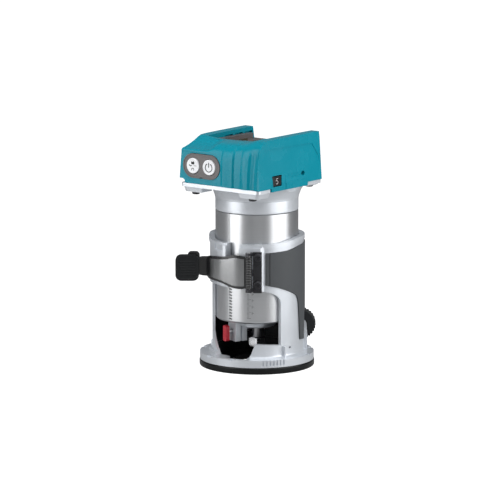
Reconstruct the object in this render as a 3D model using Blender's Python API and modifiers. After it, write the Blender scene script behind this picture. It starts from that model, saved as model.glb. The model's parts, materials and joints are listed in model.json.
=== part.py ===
"""A cordless trim router: motor unit, fixed base, depth drive, clamp lever, spindle and controls.

Metres, +Z up. The design frame has the spindle on the Z axis, the underside of the base plate
at Z = 0 and the front of the head towards -Y. The base is turned BASE_TURN degrees from the
head. At the end the whole model is shifted so that the middle of its bounding box, at the
underside, is the origin."""

import math

import bmesh
import bpy
from mathutils import Matrix, Vector

MM = 0.001
GAP = 0.3 * MM          # between pieces that rest on or run in each other
BASE_TURN = 38.0        # degrees from the head's front to the base's front

# Motor barrel and neck
BARREL_RADIUS = 32.5 * MM
BARREL_WALL = 3.0 * MM
BARREL_BOTTOM = 37.5 * MM
BARREL_TOP = 124.0 * MM
NECK_TOP = 133.7 * MM
BOSS_RADIUS = 15.0 * MM
BOSS_BOTTOM = 30.8 * MM

# Base
PLATE_THICKNESS = 5.0 * MM
BIT_HOLE_RADIUS = 18.0 * MM
FLANGE_TOP = 11.0 * MM
COLLAR_TOP = 101.0 * MM
COLLAR_BACK_TOP = 104.0 * MM
BORE_CLEARANCE = 0.4 * MM
BORE_RADIUS = BARREL_RADIUS + BORE_CLEARANCE
COLLAR_WALL = 3.9 * MM
COLLAR_RADIUS = BORE_RADIUS + COLLAR_WALL
FLANGE_RADIUS = COLLAR_RADIUS + 8.0 * MM
PLATE_RADIUS = FLANGE_RADIUS + 0.4 * MM
GRIP_RADIUS = COLLAR_RADIUS + 1.0 * MM
SEAT_WALL = 2.3 * MM    # what a grip seat or a blind hole leaves of the collar's wall
GRIP_SEAT = BORE_RADIUS + SEAT_WALL
PLATE_SCREW_CIRCLE = BORE_RADIUS + 6.1 * MM
PLATE_SCREW_ANGLES = (-52.0, 38.0, 128.0, 218.0)

# Clamp: angles in degrees round the base, from its front towards its right
SPLIT = (-38.0, -21.0)
SPLIT_BOTTOM = 60.0 * MM
EAR_RADIUS = COLLAR_RADIUS + 2.9 * MM
HINGE_EAR_RADIUS = COLLAR_RADIUS + 2.0 * MM
LEVER_PIN_ANGLE = -8.5
BRACKET_THICKNESS = 1.5 * MM
BRACKET_SCREW_ANGLE = 0.8
BRACKET_SCREW_HEIGHTS = (92.0 * MM, 70.5 * MM)
LEVER_PIN_DISTANCE = HINGE_EAR_RADIUS + 4.2 * MM
LEVER_PIN_RADIUS = 1.3 * MM
LEVER_LOW, LEVER_HIGH = 67.6 * MM, 92.8 * MM
LEVER_INNER = EAR_RADIUS + 0.6 * MM
LEVER_OUTER = LEVER_INNER + 2.7 * MM
LEVER_TAIL_ANGLE = -69.0
CLAMP_BOLT_HEIGHT = 79.5 * MM
CLAMP_BOLT_DISTANCE = BORE_RADIUS + SEAT_WALL
CLAMP_BOLT_RADIUS = 1.25 * MM

# Depth drive
TOOTH_PITCH = 2.356 * MM
TOOTH_DEPTH = 1.1 * MM
PINION_TEETH = 8
PINION_HEIGHT = 25.6 * MM
PINION_PITCH_RADIUS = PINION_TEETH * TOOTH_PITCH / (2 * math.pi)
RACK_PITCH_RADIUS = BARREL_RADIUS - 1.1 * MM
PINION_DISTANCE = RACK_PITCH_RADIUS + PINION_PITCH_RADIUS
PINION_SHAFT_RADIUS = 1.8 * MM
PINION_HALF_WIDTH = 3.0 * MM
KNOB_RADIUS = 12.3 * MM
KNOB_NEAR = COLLAR_RADIUS - 6.4 * MM
KNOB_FAR = KNOB_NEAR + 10.6 * MM
BOSS_END = KNOB_NEAR - 1.9 * MM

# Spindle and collet
SPINDLE_RADIUS = 4.0 * MM
CONE_RADIUS = 5.6 * MM
COLLET_TOP = 22.0 * MM
COLLET_BOTTOM = 14.8 * MM
COLLET_ACROSS_FLATS = 12.6 * MM

# Head
HEAD_HALF_WIDTH = 39.5 * MM
HEAD_FRONT = 47.5 * MM
HEAD_REAR = 34.6 * MM
SKIRT_BOTTOM = 139.8 * MM
SKIRT_TOP = 147.0 * MM
HEAD_TOP = 184.4 * MM
DECK_FRONT_TOP = 173.5 * MM
LIP_TOP = 181.0 * MM
LEFT_WALL_TOP = 182.4 * MM
HUMP_LEFT, HUMP_RIGHT = -9.0 * MM, 22.0 * MM
CHANNEL_HALF_WIDTH = 29.0 * MM
CHANNEL_FRONT = 25.0 * MM
CHANNEL_FLOOR = 172.0 * MM
SIDE_DROP = (-32.0 * MM, 13.8 * MM)
SIDE_DROP_BOTTOM = 144.2 * MM

# Controls
PANEL_CENTRE = (-17.2 * MM, 161.1 * MM)
PANEL_WIDTH, PANEL_HEIGHT = 36.2 * MM, 19.0 * MM
BUTTON_RADIUS = 6.1 * MM
BUTTON_OFFSET = 7.9 * MM
BUTTON_TRAVEL = 0.7 * MM
DIAL_CENTRE = (25.8 * MM, -24.7 * MM, 152.3 * MM)
DIAL_RADIUS = 14.0 * MM
DIAL_HEIGHT = 7.6 * MM
LOCK_ANGLE = -58.0
LOCK_HEIGHT = 28.5 * MM


# --- Scene, collections and frames -----------------------------------------------------------

for old in list(bpy.data.objects):
    bpy.data.objects.remove(old)

PARTS = bpy.data.collections.new("trim_router")
CUTTERS = bpy.data.collections.new("cutters")
bpy.context.scene.collection.children.link(PARTS)
bpy.context.scene.collection.children.link(CUTTERS)
CUTTERS.hide_render = True


def frame(name, parent=None, place=(0.0, 0.0, 0.0), turn=0.0):
    """An empty that parts hang from: a place and a turn about Z under its parent."""
    empty = bpy.data.objects.new(name, None)
    PARTS.objects.link(empty)
    empty.empty_display_size = 0.01
    empty.parent = parent
    empty.location = place
    empty.rotation_euler.z = math.radians(turn)
    return empty


ROUTER = frame("router_origin")
HEAD = frame("head_frame", ROUTER)
BASE = frame("base_frame", ROUTER, turn=BASE_TURN)


def bearing(angle, radius, height=0.0):
    """The point at an angle, in degrees from the front (-Y) towards the right (+X)."""
    turn = math.radians(angle)
    return Vector((radius * math.sin(turn), -radius * math.cos(turn), height))


def material(name, colour, roughness, metallic=0.0):
    found = bpy.data.materials.get(name)
    if found:
        return found
    made = bpy.data.materials.new(name)
    made.use_nodes = True
    shader = made.node_tree.nodes["Principled BSDF"]
    shader.inputs["Base Color"].default_value = (*colour, 1.0)
    shader.inputs["Roughness"].default_value = roughness
    shader.inputs["Metallic"].default_value = metallic
    return made


MATERIALS = {
    "teal_plastic": ((0.0, 0.225, 0.295), 0.35, 0.0),
    "silver_paint": ((0.66, 0.68, 0.71), 0.38, 0.6),
    "brushed_aluminium": ((0.72, 0.73, 0.75), 0.3, 1.0),
    "black_gloss": ((0.012, 0.012, 0.013), 0.18, 0.0),
    "black_plastic": ((0.018, 0.018, 0.019), 0.45, 0.0),
    "grip_rubber": ((0.07, 0.075, 0.08), 0.75, 0.0),
    "steel": ((0.55, 0.55, 0.56), 0.3, 1.0),
    "dark_steel": ((0.05, 0.05, 0.055), 0.4, 0.8),
    "panel_grey": ((0.11, 0.10, 0.10), 0.4, 0.0),
    "button_white": ((0.85, 0.86, 0.87), 0.35, 0.0),
    "red_plastic": ((0.45, 0.015, 0.03), 0.35, 0.0),
    "brass": ((0.75, 0.55, 0.25), 0.3, 1.0),
    "copper": ((0.72, 0.35, 0.2), 0.4, 1.0),
    "board_green": ((0.02, 0.15, 0.07), 0.5, 0.0),
    "clear_lens": ((0.85, 0.88, 0.9), 0.1, 0.0),
}


# --- Shape helpers ----------------------------------------------------------------------------

def mesh_from(bm, name):
    bmesh.ops.recalc_face_normals(bm, faces=bm.faces)
    if bm.calc_volume(signed=True) < 0.0:
        bmesh.ops.reverse_faces(bm, faces=bm.faces)
    mesh = bpy.data.meshes.new(name)
    bm.to_mesh(mesh)
    bm.free()
    return mesh


def add_part(name, mesh, finish, parent, matrix=None):
    part = bpy.data.objects.new(name, mesh)
    PARTS.objects.link(part)
    part.parent = parent
    if matrix is not None:
        part.matrix_basis = matrix
    mesh.materials.append(material(finish, *MATERIALS[finish]))
    return part


def hang(part, pivot):
    """Moves a part under a pivot empty of the same parent, and leaves it where it is."""
    part.parent = pivot
    part.matrix_parent_inverse = pivot.matrix_basis.inverted()
    return part


def helper(mesh, parent, matrix=None):
    tool = bpy.data.objects.new(mesh.name, mesh)
    CUTTERS.objects.link(tool)
    tool.parent = parent
    tool.hide_render = True
    tool.display_type = "WIRE"
    if matrix is not None:
        tool.matrix_basis = matrix
    return tool


def combine(part, tool_mesh, operation, matrix=None):
    parent = part.parent
    tool = helper(tool_mesh, parent, matrix)
    step = part.modifiers.new(f"{operation}_{len(part.modifiers)}".lower(), "BOOLEAN")
    step.operation = operation
    step.object = tool
    return part


def cut(part, tool_mesh, matrix=None):
    return combine(part, tool_mesh, "DIFFERENCE", matrix)


def join(part, tool_mesh, matrix=None):
    return combine(part, tool_mesh, "UNION", matrix)


def turned(profile, steps, name="turned"):
    """A profile of (radius, height) points: along the top, down the outside, back to the axis
    or up the bore. A bore makes the profile a closed loop."""
    bm = bmesh.new()
    loop = [bm.verts.new((radius, 0.0, height)) for radius, height in profile]
    pairs = list(zip(loop, loop[1:]))
    if profile[0][0] > 0:
        pairs.append((loop[-1], loop[0]))
    for pair in pairs:
        bm.edges.new(pair)
    mesh = bpy.data.meshes.new(name)
    bm.to_mesh(mesh)
    bm.free()
    carrier = bpy.data.objects.new(name, mesh)
    PARTS.objects.link(carrier)
    screw = carrier.modifiers.new("turn", "SCREW")
    screw.axis = "Z"
    screw.angle = math.tau
    screw.steps = steps
    screw.render_steps = steps
    screw.use_merge_vertices = True
    screw.merge_threshold = 0.00001
    bpy.context.view_layer.update()
    graph = bpy.context.evaluated_depsgraph_get()
    solid = bpy.data.meshes.new_from_object(carrier.evaluated_get(graph))
    solid.name = name
    bpy.data.objects.remove(carrier)
    return solid


def disc(radius, bottom, top, steps, name="disc"):
    return turned([(0.0, top), (radius, top), (radius, bottom), (0.0, bottom)], steps, name)


def ring(inner, outer, bottom, top, steps, name="ring"):
    return turned([(inner, top), (outer, top), (outer, bottom), (inner, bottom)], steps, name)


def rod(radius, start, end, sides=24, end_radius=None, name="rod"):
    """A round bar or a cone between two points."""
    start, end = Vector(start), Vector(end)
    along = end - start
    bm = bmesh.new()
    bmesh.ops.create_cone(
        bm, cap_ends=True, segments=sides, radius1=radius,
        radius2=radius if end_radius is None else end_radius, depth=along.length,
    )
    turn = along.to_track_quat("Z", "Y").to_matrix().to_4x4()
    bmesh.ops.transform(bm, matrix=Matrix.Translation((start + end) / 2) @ turn, verts=bm.verts)
    return mesh_from(bm, name)


def block(low, high, bevel=0.0, name="block"):
    """A box between two corners, with its edges rounded off by one facet where bevel is set."""
    low, high = Vector(low), Vector(high)
    bm = bmesh.new()
    bmesh.ops.create_cube(bm, size=1.0)
    bmesh.ops.scale(bm, vec=high - low, verts=bm.verts)
    bmesh.ops.translate(bm, vec=(low + high) / 2, verts=bm.verts)
    if bevel:
        bmesh.ops.bevel(bm, geom=bm.edges[:], offset=bevel, segments=1, affect="EDGES")
    return mesh_from(bm, name)


def plate(outline, bottom, top, name="plate"):
    """A flat outline of (x, y) points, as a filled curve given its thickness."""
    curve = bpy.data.curves.new(name, "CURVE")
    curve.dimensions = "2D"
    curve.fill_mode = "BOTH"
    curve.extrude = (top - bottom) / 2
    spline = curve.splines.new("POLY")
    spline.points.add(len(outline) - 1)
    for point, (x, y) in zip(spline.points, outline):
        point.co = (x, y, 0.0, 1.0)
    spline.use_cyclic_u = True
    carrier = bpy.data.objects.new(name, curve)
    PARTS.objects.link(carrier)
    bpy.context.view_layer.update()
    graph = bpy.context.evaluated_depsgraph_get()
    raw = bpy.data.meshes.new_from_object(carrier.evaluated_get(graph))
    bpy.data.objects.remove(carrier)
    bm = bmesh.new()
    bm.from_mesh(raw)
    bmesh.ops.remove_doubles(bm, verts=bm.verts, dist=0.000002)
    bmesh.ops.translate(bm, vec=(0.0, 0.0, (top + bottom) / 2), verts=bm.verts)
    return mesh_from(bm, name)


def wrapped(outline, inner, outer, step=6.0, name="wrapped"):
    """A panel that follows a cylinder: an outline of (degrees, height) between two radii."""
    bm = bmesh.new()
    face = bm.faces.new([bm.verts.new((math.radians(a), 0.0, h)) for a, h in outline])
    raised = bmesh.ops.extrude_face_region(bm, geom=[face])["geom"]
    lifted = [v for v in raised if isinstance(v, bmesh.types.BMVert)]
    bmesh.ops.translate(bm, vec=(0.0, 1.0, 0.0), verts=lifted)
    first = min(a for a, h in outline)
    last = max(a for a, h in outline)
    count = max(1, math.ceil((last - first) / step))
    for i in range(1, count):
        where = math.radians(first + (last - first) * i / count)
        everything = bm.verts[:] + bm.edges[:] + bm.faces[:]
        bmesh.ops.bisect_plane(
            bm, geom=everything, dist=1e-6, plane_co=(where, 0.0, 0.0), plane_no=(1.0, 0.0, 0.0)
        )
    for vert in bm.verts:
        radius = outer if vert.co.y > 0.5 else inner
        vert.co = bearing(math.degrees(vert.co.x), radius, vert.co.z)
    return mesh_from(bm, name)


def arc(centre, radius, start, end, count):
    """Points round a centre in a plane, from one angle to another, in degrees from +X."""
    turns = [math.radians(start + (end - start) * i / count) for i in range(count + 1)]
    return [(centre[0] + radius * math.cos(t), centre[1] + radius * math.sin(t)) for t in turns]


def soften(part, width, segments=1, angle=35.0):
    bevel = part.modifiers.new("edges", "BEVEL")
    bevel.width = width
    bevel.segments = segments
    bevel.limit_method = "ANGLE"
    bevel.angle_limit = math.radians(angle)
    bevel.harden_normals = False
    return part


# --- Base ---------------------------------------------------------------------------------------

def inset(outline, amount):
    """A (degrees, height) outline drawn in by a distance along the collar's surface."""
    scale = COLLAR_RADIUS * math.pi / 180
    flat = [Vector((a * scale, h)) for a, h in outline]
    area = sum(p.x * q.y - q.x * p.y for p, q in zip(flat, flat[1:] + flat[:1]))
    side = 1.0 if area > 0 else -1.0
    moved = []
    for i, point in enumerate(flat):
        before = (point - flat[i - 1]).normalized()
        after = (flat[(i + 1) % len(flat)] - point).normalized()
        inward = side * Vector((-before.y - after.y, before.x + after.x))
        reach = amount * 2 / max(inward.length_squared, 0.5)
        spot = point + inward * reach
        moved.append((spot.x / scale, spot.y))
    return moved


RIGHT_GRIP = [
    (10.4, 68.9 * MM), (51.0, 60.2 * MM), (57.3, 56.6 * MM), (60.2, 48.6 * MM),
    (63.8, 22.5 * MM), (78.0, 21.5 * MM), (80.0, 44.0 * MM), (172.0, 44.0 * MM),
    (172.0, 98.5 * MM), (90.0, 98.5 * MM),
    (60.0, 97.5 * MM), (40.0, 95.3 * MM), (10.4, 94.4 * MM),
]
LEFT_GRIP = [(188.0, 16.0 * MM), (246.0, 16.0 * MM), (246.0, 96.5 * MM), (188.0, 98.5 * MM)]
LEFT_RELIEF = [(-113.0, 13.0 * MM), (-50.0, 13.0 * MM), (-50.0, 67.0 * MM), (-113.0, 67.0 * MM)]
WINDOW = [
    (-58.0, FLANGE_TOP), (-10.0, FLANGE_TOP), (-2.0, 22.3 * MM), (30.5, 21.0 * MM),
    (30.5, 54.5 * MM), (27.0, 59.0 * MM), (18.0, 62.6 * MM), (4.0, 65.0 * MM),
    (-10.0, 66.4 * MM), (-80.0, 66.4 * MM), (-80.0, 28.0 * MM),
]
RIM_CUT = [
    (-104.0, COLLAR_BACK_TOP + 0.1 * MM), (-74.0, COLLAR_TOP), (29.0, COLLAR_TOP),
    (60.0, COLLAR_BACK_TOP + 0.1 * MM), (60.0, 112.0 * MM), (-104.0, 112.0 * MM),
]


def clamp_line(along, distance=CLAMP_BOLT_DISTANCE, height=CLAMP_BOLT_HEIGHT):
    """A point on the clamp bolt's line: along it from the middle of the split, at a distance
    from the spindle."""
    middle = (SPLIT[0] + SPLIT[1]) / 2
    return bearing(middle, distance, height) + bearing(middle + 90.0, along)


def pinion_line(along, out=0.0, up=0.0):
    """A point by the pinion's axis, which runs towards the back on the right of the base."""
    return Vector((PINION_DISTANCE + out, along, PINION_HEIGHT + up))


def bolt_pocket(start, end, half_height):
    """A pocket across the clamp bolt, open to the outside of the ear."""
    middle = math.radians((SPLIT[0] + SPLIT[1]) / 2)
    low = (start, -CLAMP_BOLT_DISTANCE - 9.8 * MM, CLAMP_BOLT_HEIGHT - half_height)
    high = (end, -CLAMP_BOLT_DISTANCE + 2.6 * MM, CLAMP_BOLT_HEIGHT + half_height)
    mesh = block(low, high, name="bolt_pocket")
    mesh.transform(Matrix.Rotation(middle, 4, "Z"))
    return mesh


def base_housing():
    low = PLATE_THICKNESS + GAP
    lip = 0.8 * MM
    profile = [
        (BORE_RADIUS, COLLAR_BACK_TOP), (COLLAR_RADIUS - lip, COLLAR_BACK_TOP),
        (COLLAR_RADIUS, COLLAR_BACK_TOP - lip), (COLLAR_RADIUS, FLANGE_TOP + 1.5 * MM),
        (COLLAR_RADIUS + 1.5 * MM, FLANGE_TOP), (FLANGE_RADIUS - lip, FLANGE_TOP),
        (FLANGE_RADIUS, FLANGE_TOP - lip), (FLANGE_RADIUS, low), (BORE_RADIUS, low),
    ]
    part = add_part("base_housing", turned(profile, 72, "housing"), "silver_paint", BASE)
    root = BORE_RADIUS + 1.7 * MM
    left_ear = [
        bearing(a, r)[:2] for a, r in (
            (-66.0, root + 1.0 * MM), (-58.0, HINGE_EAR_RADIUS), (-48.0, EAR_RADIUS),
            (-37.0, EAR_RADIUS), (-37.0, root), (-50.0, root),
        )
    ]
    right_ear = [
        bearing(a, r)[:2] for a, r in (
            (-22.0, root), (-22.0, HINGE_EAR_RADIUS), (-10.0, HINGE_EAR_RADIUS),
            (4.0, HINGE_EAR_RADIUS), (10.0, COLLAR_RADIUS - 0.6 * MM), (0.0, root + 0.2 * MM),
        )
    ]
    join(part, plate(left_ear, 68.0 * MM, 99.6 * MM, "left_ear"))
    join(part, plate(right_ear, 57.0 * MM, 98.8 * MM, "right_ear"))
    join(part, rod(5.0 * MM, pinion_line(-6.0 * MM), pinion_line(BOSS_END), 28, name="boss"))
    cut(part, disc(BORE_RADIUS + 0.25 * MM, 15.0 * MM, 40.0 * MM, 72, "boss_trim"))
    cut(part, rod(3.95 * MM, pinion_line(-4.7 * MM), pinion_line(BOSS_END + MM), 28, name="bore"))
    reach = (BORE_RADIUS - 3.0 * MM, FLANGE_RADIUS + 2.0 * MM)
    cut(part, wrapped(LEFT_RELIEF, BORE_RADIUS + 2.1 * MM, FLANGE_RADIUS, name="left_relief"))
    cut(part, wrapped(WINDOW, *reach, name="window"))
    split = [(SPLIT[0], SPLIT_BOTTOM), (SPLIT[1], SPLIT_BOTTOM), (SPLIT[1], 0.115), (SPLIT[0], 0.115)]
    cut(part, wrapped(split, *reach, name="split"))
    cut(part, wrapped(RIM_CUT, *reach, name="rim_step"))
    toe = [(-40.0, 3.0 * MM), (-12.0, 3.0 * MM), (-12.0, 14.0 * MM), (-40.0, 14.0 * MM)]
    cut(part, wrapped(toe, BORE_RADIUS - 3.0 * MM, COLLAR_RADIUS + 3.4 * MM, name="toe_opening"))
    for number, outline in enumerate((RIGHT_GRIP, LEFT_GRIP)):
        cut(part, wrapped(outline, GRIP_SEAT, FLANGE_RADIUS, name=f"grip_seat_{number}"))
    cut(part, rod(CLAMP_BOLT_RADIUS + GAP, clamp_line(-14.0 * MM), clamp_line(14.0 * MM), 20))
    cut(part, bolt_pocket(-17.4 * MM, -11.6 * MM, 3.7 * MM))
    cut(part, bolt_pocket(11.6 * MM, 17.4 * MM, 3.0 * MM))
    for height in BRACKET_SCREW_HEIGHTS:
        cut(part, rod(1.6 * MM, *bracket_screw_line(height), 20, name="bracket_screw_hole"))
    for angle in PLATE_SCREW_ANGLES:
        foot = bearing(angle, PLATE_SCREW_CIRCLE, 4.0 * MM)
        cut(part, rod(1.95 * MM, foot, foot + Vector((0.0, 0.0, 5.6 * MM)), 20))
    return part


def base_plate():
    edge = 0.9 * MM
    profile = [
        (BIT_HOLE_RADIUS, PLATE_THICKNESS), (PLATE_RADIUS - edge, PLATE_THICKNESS),
        (PLATE_RADIUS, PLATE_THICKNESS - edge), (PLATE_RADIUS, edge),
        (PLATE_RADIUS - edge, 0.0), (BIT_HOLE_RADIUS, 0.0),
    ]
    part = add_part("base_plate", turned(profile, 80, "plate"), "black_plastic", BASE)
    hole = [
        (0.0, 7.0 * MM), (1.95 * MM, 7.0 * MM), (1.95 * MM, 2.9 * MM), (3.9 * MM, 0.75 * MM),
        (3.9 * MM, -1.0 * MM), (0.0, -1.0 * MM),
    ]
    for angle in PLATE_SCREW_ANGLES:
        cut(part, turned(hole, 20, "countersink"),
            Matrix.Translation(bearing(angle, PLATE_SCREW_CIRCLE)))
    return part


def plate_screws():
    profile = [
        (0.0, 9.2 * MM), (1.6 * MM, 9.2 * MM), (1.6 * MM, 2.6 * MM), (3.4 * MM, 0.8 * MM),
        (3.4 * MM, 0.4 * MM), (0.0, 0.4 * MM),
    ]
    mesh = turned(profile, 20, "countersunk_screw")
    for number, angle in enumerate(PLATE_SCREW_ANGLES, start=1):
        spot = Matrix.Translation(bearing(angle, PLATE_SCREW_CIRCLE))
        add_part(f"base_plate_screw_{number}", mesh.copy(), "dark_steel", BASE, spot)


def grips():
    for name, outline in (("right_grip", RIGHT_GRIP), ("left_grip", LEFT_GRIP)):
        mesh = wrapped(inset(outline, GAP), GRIP_SEAT + GAP, GRIP_RADIUS, name=name)
        add_part(name, mesh, "grip_rubber", BASE)


def clamp_fasteners():
    shank = rod(CLAMP_BOLT_RADIUS, clamp_line(-14.0 * MM), clamp_line(12.4 * MM), 20)
    bolt = add_part("clamp_bolt", shank, "steel", BASE)
    join(bolt, rod(2.4 * MM, clamp_line(11.9 * MM), clamp_line(13.8 * MM), 20, name="bolt_head"))
    nut = add_part(
        "clamp_nut", rod(2.5 * MM, clamp_line(-13.8 * MM), clamp_line(-11.9 * MM), 6),
        "steel", BASE,
    )
    reach = (clamp_line(-20.0 * MM), clamp_line(-10.0 * MM))
    cut(nut, rod(CLAMP_BOLT_RADIUS + GAP, *reach, 20, name="nut_bore"))


def bracket_screw_line(height):
    """From inside the collar's wall to under the head of a lever bracket screw."""
    face = HINGE_EAR_RADIUS + GAP + BRACKET_THICKNESS
    inner = BORE_RADIUS + SEAT_WALL
    return bearing(BRACKET_SCREW_ANGLE, inner, height), bearing(BRACKET_SCREW_ANGLE, face, height)


def lever_hinge():
    """The pin that the clamp lever turns on, and the bracket that holds it to the collar."""
    axis = bearing(LEVER_PIN_ANGLE, LEVER_PIN_DISTANCE)
    low, high = LEVER_LOW - 3.4 * MM, LEVER_HIGH + 3.4 * MM
    up = Vector((0.0, 0.0, 1.0))
    pin = rod(LEVER_PIN_RADIUS, axis + up * low, axis + up * high, 20)
    add_part("lever_pin", pin, "steel", BASE)
    near = HINGE_EAR_RADIUS + GAP
    far = near + BRACKET_THICKNESS
    eye = LEVER_PIN_DISTANCE
    strip = [(-4.2, low - 0.4 * MM), (5.4, low - 0.4 * MM), (5.4, high - 0.2 * MM), (-4.2, high - 0.2 * MM)]
    bracket = add_part("lever_bracket", wrapped(strip, near, far), "dark_steel", BASE)
    for bottom in (low + 0.6 * MM, LEVER_HIGH + 0.5 * MM):
        lug = [
            bearing(LEVER_PIN_ANGLE + a, r)[:2] for a, r in (
                (5.3, near + 0.2 * MM), (5.3, far - 0.2 * MM), (4.2, far), (3.8, eye - 0.4 * MM),
                (2.6, eye + 2.0 * MM), (0.0, eye + 2.9 * MM), (-2.8, eye + 2.0 * MM),
                (-3.6, eye - 0.4 * MM),
                (-2.0, near + 0.8 * MM), (0.0, near + 0.2 * MM),
            )
        ]
        join(bracket, plate(lug, bottom, bottom + 2.5 * MM, "lug"))
    cut(bracket, rod(LEVER_PIN_RADIUS + GAP, axis + up * (low - 0.01), axis + up * (high + 0.01), 20))
    for name, height in zip(("bracket_screw_upper", "bracket_screw_lower"), BRACKET_SCREW_HEIGHTS):
        inner, face = bracket_screw_line(height)
        outward = (face - inner).normalized()
        cut(bracket, rod(1.6 * MM, inner, face + outward * 2.0 * MM, 20, name="screw_hole"))
        cap = rod(3.2 * MM, face + outward * GAP, face + outward * 2.4 * MM, 24)
        screw = add_part(name, cap, "dark_steel", BASE)
        join(screw, rod(1.25 * MM, inner + outward * GAP, face + outward * 1.5 * MM, 20, name="shank"))


def pinion_bush():
    mesh = rod(3.6 * MM, pinion_line(20.0 * MM), pinion_line(BOSS_END), 28)
    bush = add_part("pinion_bush", mesh, "brass", BASE)
    reach = (pinion_line(15.0 * MM), pinion_line(BOSS_END + 3.0 * MM))
    cut(bush, rod(PINION_SHAFT_RADIUS + GAP, *reach, 24, name="bush_bore"))


# --- Clamp lever ----------------------------------------------------------------------------------

def clamp_lever():
    axis = bearing(LEVER_PIN_ANGLE, LEVER_PIN_DISTANCE)
    pivot = frame("lever_pivot", BASE, axis)
    high, low = LEVER_HIGH, LEVER_LOW
    shell = [
        (-9.0, low), (-9.0, high), (-22.0, high + 0.2 * MM), (-33.0, high - 0.9 * MM),
        (-62.0, 90.0 * MM), (LEVER_TAIL_ANGLE, 88.5 * MM), (LEVER_TAIL_ANGLE, 73.0 * MM),
        (-62.0, 71.2 * MM),
        (-48.0, 71.0 * MM), (-32.0, 68.8 * MM), (-17.0, low),
    ]
    mesh = wrapped(shell, LEVER_INNER, LEVER_OUTER, name="lever_shell")
    lever = add_part("locking_lever", mesh, "black_gloss", BASE)
    up = Vector((0.0, 0.0, 1.0))
    join(lever, rod(2.6 * MM, axis + up * low, axis + up * high, 28, name="knuckle"))
    tail = LEVER_INNER * math.cos(math.radians(LEVER_TAIL_ANGLE))
    arm_front = -tail - 1.76 * MM
    arm_low = (-LEVER_OUTER - 18.0 * MM, arm_front, 74.0 * MM)
    arm_high = (-LEVER_INNER + 2.4 * MM, arm_front + 4.0 * MM, 88.0 * MM)
    join(lever, block(arm_low, arm_high, name="lever_arm"))
    cut(lever, rod(LEVER_PIN_RADIUS + GAP, axis + up * 0.06, axis + up * 0.1, 20, name="pin_hole"))
    hang(lever, pivot)
    pad_back = arm_front - GAP
    pad = block(
        (-LEVER_OUTER - 20.6 * MM, pad_back - 4.1 * MM, 69.8 * MM),
        (-LEVER_OUTER - 2.2 * MM, pad_back, 90.4 * MM), 1.2 * MM
    )
    hang(add_part("lever_pad", pad, "black_plastic", BASE), pivot)


# --- Depth drive ----------------------------------------------------------------------------------

def tooth_outline(count, pitch, tip, root):
    """Stub teeth along a straight line: (along, height) points from one end to the other."""
    points = []
    for i in range(count):
        start = i * pitch
        points += [
            (start, root), (start + 0.32 * pitch, root),
            (start + 0.44 * pitch, tip), (start + 0.64 * pitch, tip), (start + 0.76 * pitch, root),
        ]
    return points


def depth_rack():
    """A toothed bar let into the barrel and reaching below it to the pinion."""
    count = 26
    pitch_line = RACK_PITCH_RADIUS
    tip, root = pitch_line + TOOTH_DEPTH / 2, pitch_line - TOOTH_DEPTH / 2
    # The gap after the second tooth is level with the pinion, and a pinion tooth points into it.
    start = PINION_HEIGHT - 2.04 * TOOTH_PITCH
    teeth = [(h, start + a) for a, h in tooth_outline(count, TOOTH_PITCH, tip, root)]
    back = pitch_line - 2.1 * MM
    top = start + count * TOOTH_PITCH
    outline = [(back, start), *teeth, (root, top), (back, top)]
    mesh = plate(outline, -PINION_HALF_WIDTH, PINION_HALF_WIDTH, "rack")
    upright = Matrix(((1, 0, 0, 0), (0, 0, -1, 0), (0, 1, 0, 0), (0, 0, 0, 1)))
    mesh.transform(upright)
    add_part("depth_rack", mesh, "steel", BASE)
    return back, start, top


def pinion_and_knob():
    pivot = frame("knob_pivot", BASE, pinion_line(0.0))
    tip = PINION_PITCH_RADIUS + TOOTH_DEPTH / 2
    root = PINION_PITCH_RADIUS - TOOTH_DEPTH / 2 - 0.15 * MM
    outline = []
    for i in range(PINION_TEETH):
        # The first tooth points at the rack, towards -X.
        middle = 180.0 + 360.0 * i / PINION_TEETH
        for offset, radius in ((-13.0, root), (-4.5, tip), (4.5, tip), (13.0, root)):
            turn = math.radians(middle + offset)
            outline.append((radius * math.cos(turn), radius * math.sin(turn)))
    gear = plate(outline, -PINION_HALF_WIDTH, PINION_HALF_WIDTH, "pinion")
    backwards = Matrix(((1, 0, 0, 0), (0, 0, 1, 0), (0, -1, 0, 0), (0, 0, 0, 1)))
    gear.transform(Matrix.Translation(pinion_line(0.0)) @ backwards)
    shaft = add_part("pinion_shaft", gear, "steel", BASE)
    reach = (pinion_line(PINION_HALF_WIDTH - MM), pinion_line(KNOB_FAR - 3.0 * MM))
    join(shaft, rod(PINION_SHAFT_RADIUS, *reach, 24, name="shaft"))
    hang(shaft, pivot)
    outline = []
    ridges = 30
    for i in range(ridges):
        for share, radius in ((0.0, KNOB_RADIUS), (0.5, KNOB_RADIUS), (0.7, KNOB_RADIUS - 0.7 * MM)):
            turn = math.tau * (i + share) / ridges
            outline.append((radius * math.cos(turn), radius * math.sin(turn)))
    body = plate(outline, KNOB_NEAR, KNOB_FAR, "knob")
    body.transform(Matrix.Translation(pinion_line(0.0)) @ backwards)
    knob = add_part("depth_knob", body, "black_plastic", BASE)
    bore = (pinion_line(KNOB_NEAR - 2.0 * MM), pinion_line(KNOB_FAR - 2.6 * MM))
    cut(knob, rod(PINION_SHAFT_RADIUS + GAP, *bore, 24, name="knob_bore"))
    sink = (pinion_line(KNOB_FAR - 2.8 * MM), pinion_line(KNOB_FAR + 2.0 * MM))
    cut(knob, rod(3.4 * MM, *sink, 24, name="screw_sink"))
    hang(knob, pivot)
    head = rod(3.0 * MM, pinion_line(KNOB_FAR - 2.5 * MM), pinion_line(KNOB_FAR - 0.4 * MM), 24)
    hang(add_part("knob_screw", head, "steel", BASE), pivot)


# --- Motor barrel and what it holds -----------------------------------------------------------------

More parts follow.
